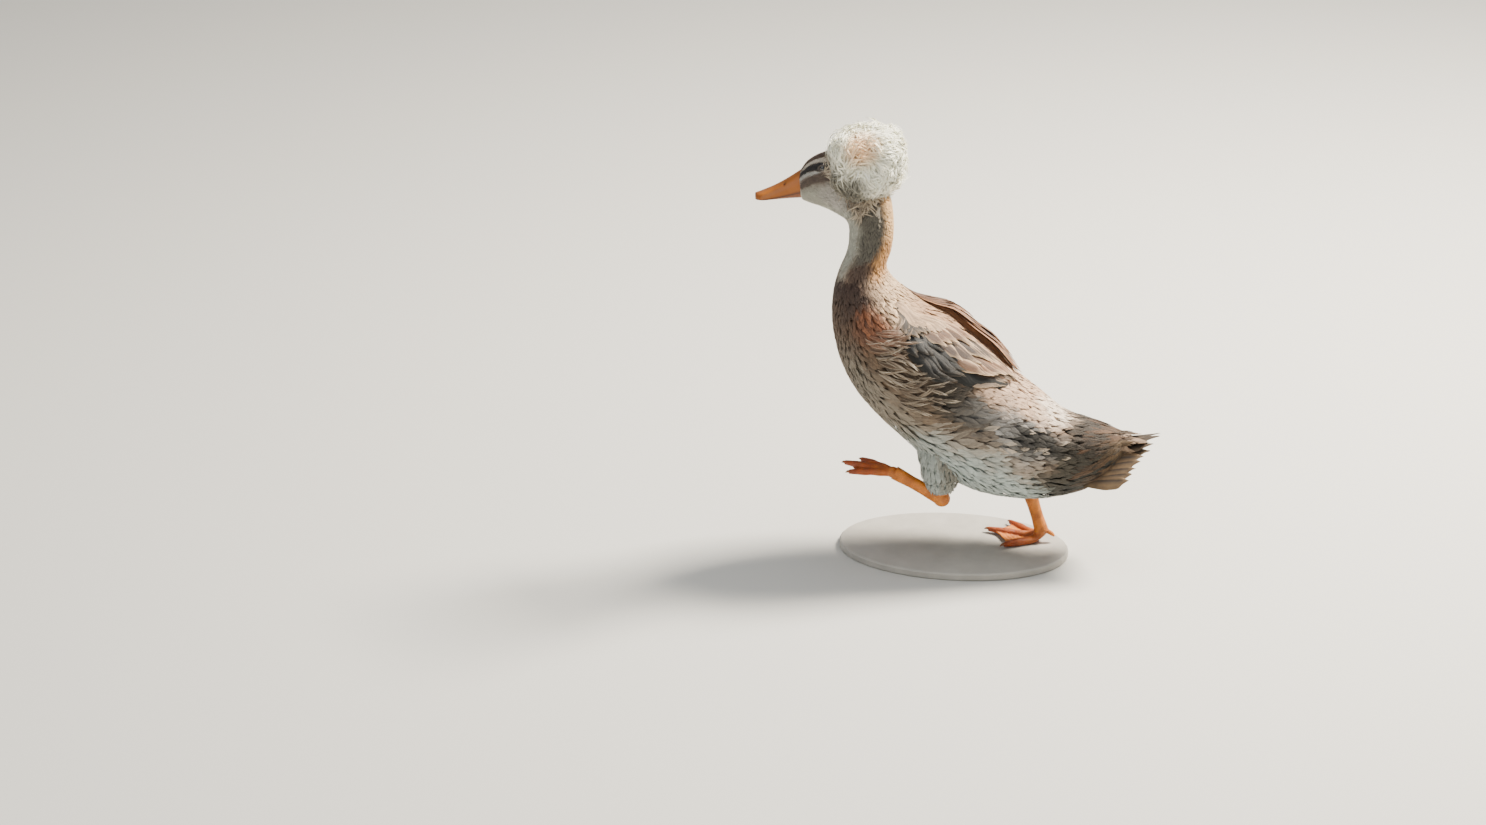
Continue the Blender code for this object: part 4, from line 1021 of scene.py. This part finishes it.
# Long soft feathers from the hind end over the tail's roots, above, at the sides and below
def makeTailCoverts():
    rng = np.random.default_rng(coverts["seed"])
    count = coverts["count"]
    s, angle = rng.uniform(*coverts["s"], count), np.radians(rng.uniform(*coverts["degrees"], count))
    degrees = halfTurn(angle)
    side = (smooth((degrees - 40) / 30) * smooth((150 - degrees) / 30) * smooth((s - 22.3) / 1.0))[:, None]
    mix = smooth(0.5 + 0.8 * drift(trunkPoint(s, angle), 0.015, 44))[:, None]
    colour = layOver(layOver(coverts["brown"], coverts["rust"], mix), coverts["buff"], side)
    plan = {
        **coverts, "length": rng.uniform(*coverts["lengths"], count) * (1 + 0.15 * side[:, 0]),
        "lie": rng.normal(0, 0.08, count) - 0.16 * np.sin(angle), "bend": rng.normal(0, 0.06, count),
        "depth": np.full(count, 0.001), "rise": rng.uniform(-0.0004, 0.0012, count),
        "colour": colour * rng.uniform(0.80, 1.12, (count, 1)), "heart": np.full(count, 0.3),
        "fringe": np.full(count, 0.16),
    }
    unwrap = np.stack([(s - 21) / 4, angle / (2 * math.pi) + 0.5], -1)
    layFeathers("tailCoverts", trunkPoint, s, angle, plan, unwrap, bodyFeather, rng)


makeTailCoverts()
print("tail done")

# Crest
crest = {
    "centre": np.array([-0.1097, 0.0, 0.4664]), "radii": np.array([0.0465, 0.0440, 0.0412]), "square": 2.7,
    "strands": 6400, "halfWidth": 0.00066, "along": [1.0, 1.25, 1.25, 1.05, 0.7, 0.18], "thick": 0.00018,
    "lump": 0.080, "curl": 0.0010, "core": 0.86,
    # grey is painted shade, laid over the crest's lower front
    "cream": tone(255, 252, 236), "peach": tone(252, 206, 150), "grey": tone(98, 90, 72),
}


# The ball's surface in a given direction: a squarish ellipsoid, whose three shares to a power
# above 2 add up to 1, with soft lumps by slow random variation
def crestReach(d):
    power = crest["square"]
    reach = (np.abs(d / crest["radii"]) ** power).sum(-1) ** (-1 / power)
    return reach * (0.94 + crest["lump"] * drift(d, 1.0, 55) + 0.3 * crest["lump"] * drift(d, 0.35, 56))


def crestColour(offset):  # cream, with a peach patch high on the front and painted shade in grey low down
    spot, radii = np.array([-0.003, -0.030, 0.022]), np.array([0.022, 0.034, 0.019])
    near = np.linalg.norm((offset - spot) / radii, axis=-1)
    peach = (smooth(1.35 - near) * 0.7)[..., None]
    # painted shade: grey grows towards the crest's lower front
    below = -0.62 * offset[..., 0] - 0.88 * offset[..., 2] + 0.005 * drift(offset, 0.025, 57)
    grey = (smooth((below - 0.010) / 0.024) * 0.9)[..., None]
    return layOver(layOver(crest["cream"], crest["peach"], peach), crest["grey"], grey)


# Strands lie along the lumps in slowly turning directions. A strand starts inside the ball,
# rises to its surface and follows it: the direction from the centre is the start direction plus
# the flow times v, plus a curl, and the reach goes from the root's share up to the strand's own.
def makeCrest(name, part, seed):
    rng = np.random.default_rng(seed)
    total = crest["strands"]
    k = np.arange(total)[part]
    z = 1 - 2 * (k + 0.5) / total
    turn = k * math.pi * (3 - math.sqrt(5))
    d = np.stack([np.cos(turn) * np.sqrt(1 - z * z), np.sin(turn) * np.sqrt(1 - z * z), z], -1)
    d = unit(d + rng.normal(0, 0.03, d.shape))
    d = d[~((d[:, 2] < -0.30) & (d[:, 0] < 0.2) & (np.abs(d[:, 1]) < 0.40))]  # none inside the head
    count = len(d)
    v = np.linspace(0, 1, len(crest["along"]))
    flow = np.stack([drift(d, 1.3, 60 + i) for i in range(3)], -1) + np.array([0.25, 0, -0.35])
    flow = unit(flow - d * (flow * d).sum(-1, keepdims=True) + rng.normal(0, 0.22, d.shape))
    bend = np.cross(d, flow) * (drift(d, 0.7, 64) + rng.normal(0, 0.35, count))[:, None]
    reach = rng.uniform(0.30, 0.62, count)[:, None, None]
    turned = flow[:, None] * v[None, :, None] + bend[:, None] * (v**2)[None, :, None] * 0.7
    way = unit(d[:, None] + turned * reach)
    loose = rng.uniform(0, 1, count) ** 6
    level = 0.78 + rng.uniform(0.12, 0.24, count)[:, None] * smooth(v / 0.5) + 0.16 * loose[:, None] * v**2
    path = crest["centre"] + way * (crestReach(way) * level)[..., None]
    curl = unit(rng.normal(size=(count, 3)))[:, None]
    wave = np.sin(v * rng.uniform(4, 8, count)[:, None] + rng.uniform(0, 6, count)[:, None])
    path += curl * (crest["curl"] * wave * v)[..., None]
    offset = path - crest["centre"]
    path[..., 2] += soleHeight
    along = unit(np.gradient(path, axis=1))
    normal = unit(offset - along * (offset * along).sum(-1, keepdims=True))
    across = unit(np.cross(along, normal))
    half = crest["halfWidth"] * rng.uniform(0.7, 1.5, count)[:, None] * np.array(crest["along"])
    arrays = vaneArrays(path, across, normal, half, 2, crest["thick"], 0.1,
                        rng.normal(0, 0.5, count), np.zeros(count), rng)
    colour = crestColour(offset) * rng.uniform(0.93, 1.05, count)[:, None, None]
    shade = (0.90 + 0.14 * smooth(v * 1.6))[None, :, None]
    unwrap = np.stack([np.arctan2(d[:, 1], d[:, 0]) / (2 * math.pi) + 0.5, d[:, 2] * 0.5 + 0.5], -1)
    piece = coatPiece(name, arrays, (colour * shade)[:, :, None], unwrap, crestFeather)
    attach(piece, "root")
    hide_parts("crest")


def makeCrestCore():  # the ball under the strands, by rings of its polar angle
    polar, around = gridOf(np.linspace(0.01, math.pi - 0.01, 60), roundTurn(90))
    d = np.stack([np.sin(polar) * np.cos(around), np.sin(polar) * np.sin(around), np.cos(polar)], -1)
    offset = d * (crestReach(d) * crest["core"])[..., None]
    ball = crest["centre"] + offset + np.array([0, 0, soleHeight])
    core = meshFromArrays("crestCore", *joinGrids([ball]), crestFeather)
    paintPoints(core.data, "tint", crestColour(offset).reshape(-1, 3) * 0.92)
    addMap(core.data, "vane", np.stack([around, polar], -1).reshape(-1, 2))
    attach(core, "root")
    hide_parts("crest")


makeCrestCore()
makeCrest("crestInner", slice(0, None, 2), 51)
makeCrest("crestOuter", slice(1, None, 2), 52)


cheekFluff = {
    "count": 1300, "s": (2.1, 5.6), "degrees": (8, 108), "lengths": (0.008, 0.015), "rises": (0.001, 0.0065),
    "strands": 1, "rows": 6, "columns": 2, "width": 0.066, "fan": 0.0, "droop": 0.0,
    "thick": 0.00016, "fray": 0.2, "root": 0.9, "slot": "crest_cream",
    "pale": tone(196, 182, 162), "brown": tone(96, 84, 74), "edge": tone(226, 214, 194),
}


# Fluff between the cheek and the crest, with darker curls near its lower edge
def makeCheekFluff(side, name, seed):
    rng = np.random.default_rng(seed)
    count = cheekFluff["count"]
    s, degrees = rng.uniform(*cheekFluff["s"], count), rng.uniform(*cheekFluff["degrees"], count)
    clearOfEye = (np.abs(degrees - 48) > 16) | (s > 2.45)
    keep = (degrees < 74 + 34 * smooth((s - 2.4) / 2)) & clearOfEye
    s, degrees = s[keep], degrees[keep]
    count, angle = len(s), np.radians(degrees) * side
    patches = 0.9 * drift(trunkPoint(s, angle), 0.014, 72)
    dark = smooth(0.2 + patches + 0.5 * smooth((degrees - 70) / 30)) * 0.75 * smooth((degrees - 38) / 30)
    colour = layOver(cheekFluff["pale"], cheekFluff["brown"], dark[:, None])
    plan = {
        **cheekFluff, "length": rng.uniform(*cheekFluff["lengths"], count),
        "lie": rng.normal(-0.1, 0.55, count) * side,
        "bend": rng.normal(0.2, 0.6, count) * side, "depth": np.full(count, 0.001),
        "rise": 0.0006 + rng.uniform(*cheekFluff["rises"], count) * smooth((s - 2.1) / 1.2),
        "colour": colour * rng.uniform(0.9, 1.08, (count, 1)),
        "heart": np.zeros(count), "fringe": np.full(count, 0.15),
    }
    unwrap = np.stack([(s - 2) / 4, degrees / 180], -1)
    layFeathers(name, trunkPoint, s, angle, plan, unwrap, crestFeather, rng)


makeCheekFluff(1, "cheekFluffLeft", 71)
makeCheekFluff(-1, "cheekFluffRight", 73)
print("crest done")


# Bill
bill = {
    "length": 0.0540, "halfWidth": 0.0108, "culmen": (0.4515, 0.4215), "mouth": (0.4285, 0.4160),
    "chin": (0.4195, 0.4150), "sunk": 0.004, "gap": 0.0004, "nail": 0.0007, "nostril": 0.0013,
    "orange": tone(180, 114, 40), "ridge": tone(128, 84, 40), "tip": tone(150, 92, 34),
    "lower": tone(142, 84, 32), "dark": tone(40, 28, 20),
}


def billProfile(t):  # culmen, mouth and chin heights and half width at a share t of the length
    tt = np.clip(t, 0, 1)
    dip = np.sin(math.pi * tt)
    culmen = between(bill["culmen"], t) - 0.0022 * dip
    mouth = between(bill["mouth"], t) - 0.0012 * dip
    chin = between(bill["chin"], t)
    swell = 1.0 - 0.08 * np.sin(math.pi * np.minimum(tt / 0.7, 1.0)) + 0.12 * tt
    tip = np.sqrt(np.clip(1.0 - (np.maximum(t - 0.78, 0.0) / 0.22) ** 2, 0.0, 1.0))
    return culmen, mouth, chin, bill["halfWidth"] * swell * tip


def billRoot(z):  # the face's slant
    top, low = trunk["sections"][0, :2], trunk["sections"][0, 2:4]
    return low[0] + (top[0] - low[0]) * (z - low[1]) / (top[1] - low[1])


def makeBillHorn():
    material, tree, shader = makeMaterial("billHorn", Coat_Weight=0.15, Subsurface_Weight=0.12,
                                          Subsurface_Radius=(0.004, 0.0015, 0.0006))
    wide, fine = grainOf(tree, 160.0, 4.0), grainOf(tree, 1400.0, 3.0)
    level = mathNode(tree, "MULTIPLY_ADD", wide, 0.36, 0.82)
    tree.links.new(shaded(tree, tintOf(tree), level), shader.inputs["Base Color"])
    tree.links.new(mathNode(tree, "MULTIPLY_ADD", wide, 0.25, 0.28), shader.inputs["Roughness"])
    bumpBy(tree, shader, fine, 0.25, 0.0003)
    return material


billHorn = makeBillHorn()


# Half of the bill as rings: over its outside, where the height follows a power of the arc's
# sine, and back along the mouth. The upper half has a nail at its tip, a nostril on each side
# and a lip. Both start inside the face.
def makeBill(upper):
    long, wide = (1, 1) if upper else (0.965, 0.9)  # the lower half is shorter and narrower
    blunt = 1 - 0.1 * np.cos(np.linspace(0.25, math.pi / 2 - 0.12, 12))
    t = np.concatenate([[-bill["sunk"] / bill["length"]], np.linspace(0, 0.9, 46), blunt])[:, None]
    arc, flat = np.linspace(0, math.pi, 41), np.linspace(-0.92, 0.92, 9)
    sine, cosine = np.sin(arc), np.cos(arc)
    culmen, mouth, chin, half = billProfile(t)
    y = cosine * half * wide
    if upper:
        nail = np.exp(-(((t - 0.96) / 0.05) ** 2 + (cosine / 0.42) ** 2))
        nostril = np.exp(-(((t - 0.33) / 0.035) ** 2 + ((np.abs(cosine) - 0.62) / 0.10) ** 2))
        z = mouth + (culmen - mouth) * sine**0.85
        z = z + bill["nail"] * nail - bill["nostril"] * nostril
        y = y * (1 + 0.02 * smooth((0.16 - sine) / 0.16))
        inside = mouth + 0.0006 * (1 - t)
    else:
        inside = mouth - bill["gap"]
        z = inside - (inside - chin) * sine**0.8
    reach = bill["length"] * t * long
    outer = np.stack([billRoot(z) - reach, y + 0 * z, z], -1)
    inner = np.stack([billRoot(mouth) - reach + 0 * flat, flat * half * wide, inside + 0 * flat], -1)
    ring = np.concatenate([outer, inner], 1)
    ring[..., 2] += soleHeight
    piece = meshFromArrays("billUpper" if upper else "billLower", *joinGrids([ring]), billHorn)
    around = np.concatenate([sine, 0 * flat])[None] + 0 * t
    if upper:
        ridge = smooth((around - 0.72) / 0.28) * 0.75
        tip = smooth((t - 0.80) / 0.2) * 0.7
        hole = np.concatenate([nostril, 0 * inner[..., 0]], 1) ** 1.5
        colour = layOver(bill["orange"], bill["ridge"], ridge[..., None])
        colour = layOver(colour, bill["tip"], tip[..., None])
        colour = layOver(colour, bill["dark"], hole[..., None])
    else:
        colour = np.tile(bill["lower"], around.shape + (1,))
    seam = np.concatenate([smooth((0.10 - sine) / 0.10), 1 + 0 * flat]) * 0.7
    colour = layOver(colour, bill["dark"], seam[:, None])
    paintPoints(piece.data, "tint", colour.reshape(-1, 3))
    piece.data.set_sharp_from_angle(angle=math.radians(50))
    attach(piece, "root")
    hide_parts("bill_upper" if upper else "bill_lower")


makeBill(True)
makeBill(False)

# Eyes and lids
eye = {
    "radius": 0.0055, "x": -0.1578, "z": 0.4602, "sunk": 0.0036, "pupil": 0.0030, "rim": 0.0042,
    # half width and half height between the lids, how thick they are and how far outside that
    "opening": (0.0042, 0.0031), "lidThick": 0.00085, "lidOut": 0.0007, "lidPoints": 64, "lidSides": 12,
    "iris": tone(58, 36, 22), "black": tone(8, 7, 7), "lid": tone(92, 84, 78),
}


def eyeCentre(side):  # sunk below the head's surface at the eye's place
    row = trunkRow(np.array([2.0]))[0]
    up = np.array([row[0] - row[2], row[1] - row[3]])
    height = np.linalg.norm(up) / 2
    offset = np.array([eye["x"] - (row[0] + row[2]) / 2, eye["z"] - (row[1] + row[3]) / 2])
    rise = offset @ up / (2 * height) / height
    width = row[4] * (1 - abs(rise) ** trunk["power"]) ** (1 / trunk["power"])
    return np.array([eye["x"], -side * (width - eye["sunk"]), eye["z"] + soleHeight])


eyeGloss, eyeTree, eyeShader = makeMaterial("eyeGloss", Roughness=0.06, Coat_Weight=1.0, Coat_Roughness=0.02)
eyeTree.links.new(tintOf(eyeTree), eyeShader.inputs["Base Color"])
lidSkin, lidTree, lidShader = makeMaterial("lidSkin", Roughness=0.6)
lidGrain = grainOf(lidTree, 1500.0, 3.0)
lidColour = mottled(lidTree, lidGrain, eye["lid"] * 0.7, eye["lid"] * 1.2)
lidTree.links.new(lidColour, lidShader.inputs["Base Color"])
bumpBy(lidTree, lidShader, lidGrain, 0.5, 0.0003)


# A ball whose poles point sideways: rings of the sine of the polar angle, with the pupil at
# the outer pole
def makeEye(side, name, node):
    polar, around = gridOf(np.linspace(0.02, math.pi - 0.02, 40), roundTurn(48))
    ball = [np.sin(polar) * np.cos(around), -side * np.cos(polar), np.sin(polar) * np.sin(around)]
    ball = np.stack(ball, -1) * eye["radius"] + eyeCentre(side)
    piece = meshFromArrays(name, *joinGrids([ball], turned=side < 0), eyeGloss)
    out = np.sin(polar).ravel() * eye["radius"]
    mix = smooth((out - eye["pupil"] + 0.0002) / 0.0004)[:, None]
    ring = smooth((out - eye["rim"]) / 0.0008)[:, None]
    paintPoints(piece.data, "tint", layOver(eye["black"], eye["iris"] * (1 - 0.7 * ring), mix))
    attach(piece, "root")
    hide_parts(node)


makeEye(1, "eyeLeft", "eye_left")
makeEye(-1, "eyeRight", "eye_right")


# An almond ring round each eye: a small round section carried along an almond on the eyeball,
# thicker above than below
def makeLids(side, name):
    count, sides = eye["lidPoints"], eye["lidSides"]
    t, section = roundTurn(count), roundTurn(sides)
    wide = eye["opening"][0] * np.cos(t)
    high = eye["opening"][1] * np.sin(t) * (1 - 0.22 * np.abs(np.cos(t)) ** 3)
    out = np.sqrt(np.maximum(eye["radius"] ** 2 - wide**2 - high**2, 0))
    middle = np.stack([wide, -side * out, high], -1)
    radial, outward = unit(middle * np.array([1.0, 0.25, 1.0])), unit(middle)
    thick = eye["lidThick"] * (1 + 0.35 * (np.sin(t) > 0))
    aside = np.cos(section)[None] * thick[:, None] + eye["lidOut"]
    lift = np.sin(section)[None] * thick[:, None] * 0.8
    ring = middle[:, None] + radial[:, None] * aside[..., None] + outward[:, None] * lift[..., None]
    points = (ring + eyeCentre(side)).reshape(-1, 3)
    i, j = gridOf(np.arange(count), np.arange(sides))
    row, after, beside = i * sides, (i + 1) % count * sides, (j + 1) % sides
    quads = np.stack([row + j, row + beside, after + beside, after + j], -1).reshape(-1, 4)
    if side > 0:
        quads = quads[:, ::-1]
    piece = meshFromArrays(name, points, np.full(len(quads), 4), quads.ravel(), lidSkin)
    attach(piece, "root")


makeLids(1, "lidsLeft")
makeLids(-1, "lidsRight")
print("head details done")

# Legs and feet
leg = {
    "hock": {"left": (-0.0130, -0.0345, 0.0715), "right": (0.0845, 0.0265, 0.0640)},
    "ankle": {"left": (-0.0685, -0.0335, 0.1003), "right": (0.1025, 0.0190, 0.0125)},
    "above": {"left": (-0.0045, -0.0005, 0.0150), "right": (-0.0025, 0.0005, 0.0100)},
    "shank": 0.0077, "toe": 0.0047, "web": 0.0015, "voxel": 0.0006,
    "lengths": (0.050, 0.066, 0.056),
    "spreads": {"left": (-12, 0, 12), "right": (-31, 14, 45)},
    # how thick along the shank and the toes, as shares, and along the hind toe and the claws
    "shankGirth": [(0, 1.14), (0.2, 1.10), (0.4, 0.98), (0.65, 0.95), (0.85, 1.05), (1, 1.10)],
    "toeGirth": [(0, 1.25), (0.16, 1.05), (0.33, 1.12), (0.5, 0.92), (0.66, 1.0), (0.83, 0.80), (1, 0.58)],
    "hindGirth": [(0, 0.0030), (0.6, 0.0027), (1, 0.0012)],
    "clawGirth": [(0, 0.0018), (0.5, 0.0015), (1, 0.0002)],
    # where the hind toe goes from the ankle and a claw from the toe's end: ahead, up
    "hind": [(-0.002, 0.003), (-0.010, -0.001), (-0.015, -0.005)],
    "claw": [(-0.003, 0.0006), (0.002, 0.0006), (0.0052, -0.0012)],
    # bright is a painted highlight on the webs; dark is laid on in patches by slow random variation
    "orange": tone(186, 94, 28), "bright": tone(230, 148, 58), "dark": tone(132, 68, 26),
    "horn": tone(150, 104, 70),
}


# Rings round a path, closed at both ends: the radius times cosine and flatness goes to the side
# that the hint gives, and the radius times sine goes across it
def tube(path, radius, columns, flat=1.0, hint=(0, 1, 0)):
    along = unit(np.gradient(path, axis=0))
    across = unit(np.array(hint) - along * (along @ np.array(hint))[:, None])
    other = np.cross(along, across)
    t = roundTurn(columns)[None, :, None]
    r = radius[:, None, None]
    return path[:, None] + across[:, None] * np.cos(t) * r * flat + other[:, None] * np.sin(t) * r


def softPath(points, count):  # a smooth curve through a few points
    return curveThrough(np.array(points), np.linspace(0, len(points) - 1, count))


def footAxes(side):  # the raised foot slants, the other is flat on the plate
    if side == "left":
        forward = unit(np.array([-0.91, 0.36, 0.03]))
        upward = np.array([0.05, -0.50, 0.86])
        upward = unit(upward - forward * (upward @ forward))
    else:
        forward, upward = np.array([-1.0, 0, 0]), np.array([0, 0, 1.0])
    outward = unit(np.cross(forward, upward)) * (-1 if side == "left" else 1)
    return forward, upward, outward


def toePaths(side):  # from the ankle outwards, curved down or, on the plate, soon flat
    forward, upward, outward = footAxes(side)
    t = np.linspace(0, 1, 40)
    drop = 0.005 * t**2 if side == "left" else 0.0082 * (1 - (1 - np.minimum(t / 0.35, 1)) ** 2)
    paths = []
    for angle, length in zip(np.radians(leg["spreads"][side]), leg["lengths"]):
        way = forward * math.cos(angle) + outward * math.sin(angle)
        paths.append(np.array(leg["ankle"][side]) + way * (length * t)[:, None] - upward * drop[:, None])
    return paths


def makeLegScales():  # scales by cells, darker and sunk between them
    material, tree, shader = makeMaterial("legScales", Roughness=0.42, Subsurface_Weight=0.15,
                                          Subsurface_Radius=(0.004, 0.0016, 0.0006))
    place = objectPlace(tree)
    cells = addNode(tree, "ShaderNodeTexVoronoi", feature="DISTANCE_TO_EDGE", Vector=place, Scale=620.0)
    edge = mathNode(tree, "MINIMUM", mathNode(tree, "MULTIPLY", cells.outputs["Distance"], 5.0), 1.0)
    level = mathNode(tree, "MULTIPLY_ADD", edge, 0.30, 0.72)
    tree.links.new(shaded(tree, tintOf(tree), level), shader.inputs["Base Color"])
    bumpBy(tree, shader, edge, 0.6, 0.0004)
    return material


legScales = makeLegScales()
clawHorn, clawTree, clawShader = makeMaterial("clawHorn", Roughness=0.35)
clawColour = mottled(clawTree, grainOf(clawTree, 900.0, 3.0), leg["horn"] * 0.6, leg["horn"] * 1.5)
clawTree.links.new(clawColour, clawShader.inputs["Base Color"])


# The web between two toes, a sheet whose front edge is hollow, as far as 0.96 - 0.15 sin of the
# toes' length, and which sags between them
def webGrid(first, second, upward):
    u = np.linspace(0, 1, 15)
    reach = np.linspace(0.04, 1, 30)[:, None] * (0.96 - 0.15 * np.sin(math.pi * u)[None])
    last = len(first) - 1
    i = np.clip(np.floor(reach * last).astype(int), 0, last - 1)
    f = (reach * last - i)[..., None]
    edges = layOver(first[i], first[i + 1], f), layOver(second[i], second[i + 1], f)
    sag = 0.0008 * np.sin(math.pi * u)[None] + 0.0004 * np.sin(reach * 60) * np.sin(math.pi * u)[None]
    sheet = layOver(*edges, u[None, :, None]) - upward * sag[..., None]
    half = upward * leg["web"] / 2
    return np.concatenate([sheet + half, (sheet - half)[:, ::-1]], 1)


# A leg's closed tubes: shank, the stub above the hock, the hock's ball, palm, toes, hind toe, webs
def legGrids(side, shank, toes):
    hock, ankle = np.array(leg["hock"][side]), np.array(leg["ankle"][side])
    above = hock + np.array(leg["above"][side])
    forward, upward, outward = footAxes(side)
    hint, thick = tuple(outward), leg["shank"]
    share = np.linspace(0, 1, len(shank))
    stub = above + (hock - above) * np.linspace(-0.4, 1, 12)[:, None]
    polar = np.linspace(0.15, math.pi - 0.15, 16)
    ball = hock + unit(ankle - above) * (-np.cos(polar) * thick * 1.32)[:, None]
    palm = ankle + forward * 0.002 + upward * (np.cos(polar) * 0.0062)[:, None]
    hind = ankle + softPath([forward * ahead + upward * up for ahead, up in leg["hind"]], 14)
    girth = leg["toe"] * readTable(leg["toeGirth"], np.linspace(0, 1, len(toes[0])))
    return [
        tube(shank, thick * readTable(leg["shankGirth"], share), 24, flat=0.84),
        tube(stub, np.linspace(1.0, 1.15, 12) * thick, 24, flat=0.9),
        tube(ball, np.sin(polar) * thick * 1.30, 24, flat=0.88),
        tube(palm, np.sin(polar) * 0.0078, 24, flat=0.9, hint=hint),
        *[tube(path, girth, 20, hint=hint) for path in toes],
        tube(hind, readTable(leg["hindGirth"], np.linspace(0, 1, 14)), 12, hint=hint),
        *[webGrid(first, second, upward) for first, second in zip(toes, toes[1:])],
    ]


def legColour(places, bones):  # a painted highlight where far from every toe and the shank, on the webs, and darker in patches by slow variation
    near = np.full(len(places), 1.0)
    for part in np.array_split(bones, 16):
        near = np.minimum(near, np.linalg.norm(places[:, None] - part[None], axis=-1).min(1))
    # painted highlight: the webs, away from the toes and the shank, brighter
    web = smooth((near - 0.0038) / 0.003)[:, None]
    darkPatches = smooth(0.5 + 0.9 * drift(places, 0.012, 61))[:, None] * 0.35
    return layOver(layOver(leg["orange"], leg["bright"], web), leg["dark"], darkPatches)


# A leg: its tubes and webs remeshed into one body, smoothed, and kept above the plate
def makeLeg(side):
    hock, ankle = np.array(leg["hock"][side]), np.array(leg["ankle"][side])
    shank = hock + (ankle - hock) * np.linspace(0, 1, 40)[:, None]
    toes = toePaths(side)
    points, sizes, corners = joinGrids(legGrids(side, shank, toes))
    points[:, 2] += soleHeight
    piece = meshFromArrays("leg" + side.capitalize(), points, sizes, corners, legScales)
    joinByVoxels(piece, leg["voxel"])
    ease = piece.modifiers.new("ease", "SMOOTH")
    ease.factor = 0.5
    ease.iterations = 3
    applyModifiers(piece)
    places = pointsOf(piece.data)
    if side == "right":
        places[:, 2] = np.maximum(places[:, 2], soleHeight)
        piece.data.vertices.foreach_set("co", places.astype(np.float32).ravel())
    bones = np.concatenate(toes + [shank]) + np.array([0, 0, soleHeight])
    paintPoints(piece.data, "tint", legColour(places, bones))
    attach(piece, "root")
    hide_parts("shank_" + side, "foot_" + side)
    makeClaws(side, toes)


def makeClaws(side, toes):  # a short hooked tube at the end of each toe
    _, upward, outward = footAxes(side)
    girth = readTable(leg["clawGirth"], np.linspace(0, 1, 14))
    claws = []
    for path in toes:
        tip, along = path[-1], unit(path[-1] - path[-2])
        curve = softPath([tip + along * ahead + upward * up for ahead, up in leg["claw"]], 14)
        claws.append(tube(curve, girth, 12, hint=tuple(outward)))
    points, sizes, corners = joinGrids(claws)
    points[:, 2] = np.maximum(points[:, 2] + soleHeight, soleHeight)
    horn = meshFromArrays("claws" + side.capitalize(), points, sizes, corners, clawHorn)
    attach(horn, "root")


makeLeg("left")
makeLeg("right")
print("legs done")

# Stand and floor
ground = {
    "shade": tone(176, 172, 164), "pale": tone(204, 200, 192),  # the plate's two tones
    "floor": tone(214, 213, 208), "reach": 20.0,
}
plateMaterial, plateTree, plateShader = makeMaterial("standPlate", Roughness=0.55)
plateColour = mottled(plateTree, grainOf(plateTree, 45.0, 6.0), ground["shade"], ground["pale"])
plateTree.links.new(plateColour, plateShader.inputs["Base Color"])
bumpBy(plateTree, plateShader, grainOf(plateTree, 1200.0, 2.0), 0.15, 0.0002)
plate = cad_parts["stand_base"]
plate.data.materials.clear()
plate.data.materials.append(plateMaterial)

floorMaterial = makeMaterial("floor", Roughness=0.9, Base_Color=(*ground["floor"], 1))[0]
floorCorners = np.array([(-1, -1, 0), (1, -1, 0), (1, 1, 0), (-1, 1, 0)]) * ground["reach"]
floor = meshFromArrays("floor", floorCorners, np.array([4]), np.arange(4), floorMaterial)

# Camera and lights
studio = {
    "camera": (0.21797, -3.16003, 1.50035), "turn": (67.2376, 0.0, 8.4406), "lens": 71.66, "sensor": 36.0,
    "lights": {  # place, size, power, colour
        "key": ((1.45, 1.0, 2.5), 0.8, 400, (1.0, 0.92, 0.80)),
        "front": ((-1.2, -2.4, 1.6), 2.2, 20, (0.97, 0.99, 1.0)),
        "top": ((0.3, -0.1, 2.9), 2.0, 40, (1.0, 0.99, 0.97)),
    },
    "middle": (0, 0, 0.25),  # where the lights point
    "sky": (0.90, 0.93, 0.97, 1), "skyStrength": 0.36,
}
camera = bpy.data.cameras.new("camera")
camera.lens, camera.sensor_width = studio["lens"], studio["sensor"]
cameraObject = bpy.data.objects.new("camera", camera)
bpy.context.scene.collection.objects.link(cameraObject)
cameraObject.location = studio["camera"]
cameraObject.rotation_euler = [math.radians(v) for v in studio["turn"]]
bpy.context.scene.camera = cameraObject

for name, (place, size, power, colour) in studio["lights"].items():
    lamp = bpy.data.lights.new(name, "AREA")
    lamp.size, lamp.energy, lamp.color = size, power, colour
    lampObject = bpy.data.objects.new(name, lamp)
    bpy.context.scene.collection.objects.link(lampObject)
    lampObject.location = place
    lampObject.rotation_euler = (Vector(studio["middle"]) - Vector(place)).to_track_quat("-Z", "Y").to_euler()
world = bpy.data.worlds.new("studio")
bpy.context.scene.world = world
world.use_nodes = True
setSockets(world.node_tree.nodes["Background"], Color=studio["sky"], Strength=studio["skyStrength"])
print("stand and studio done")
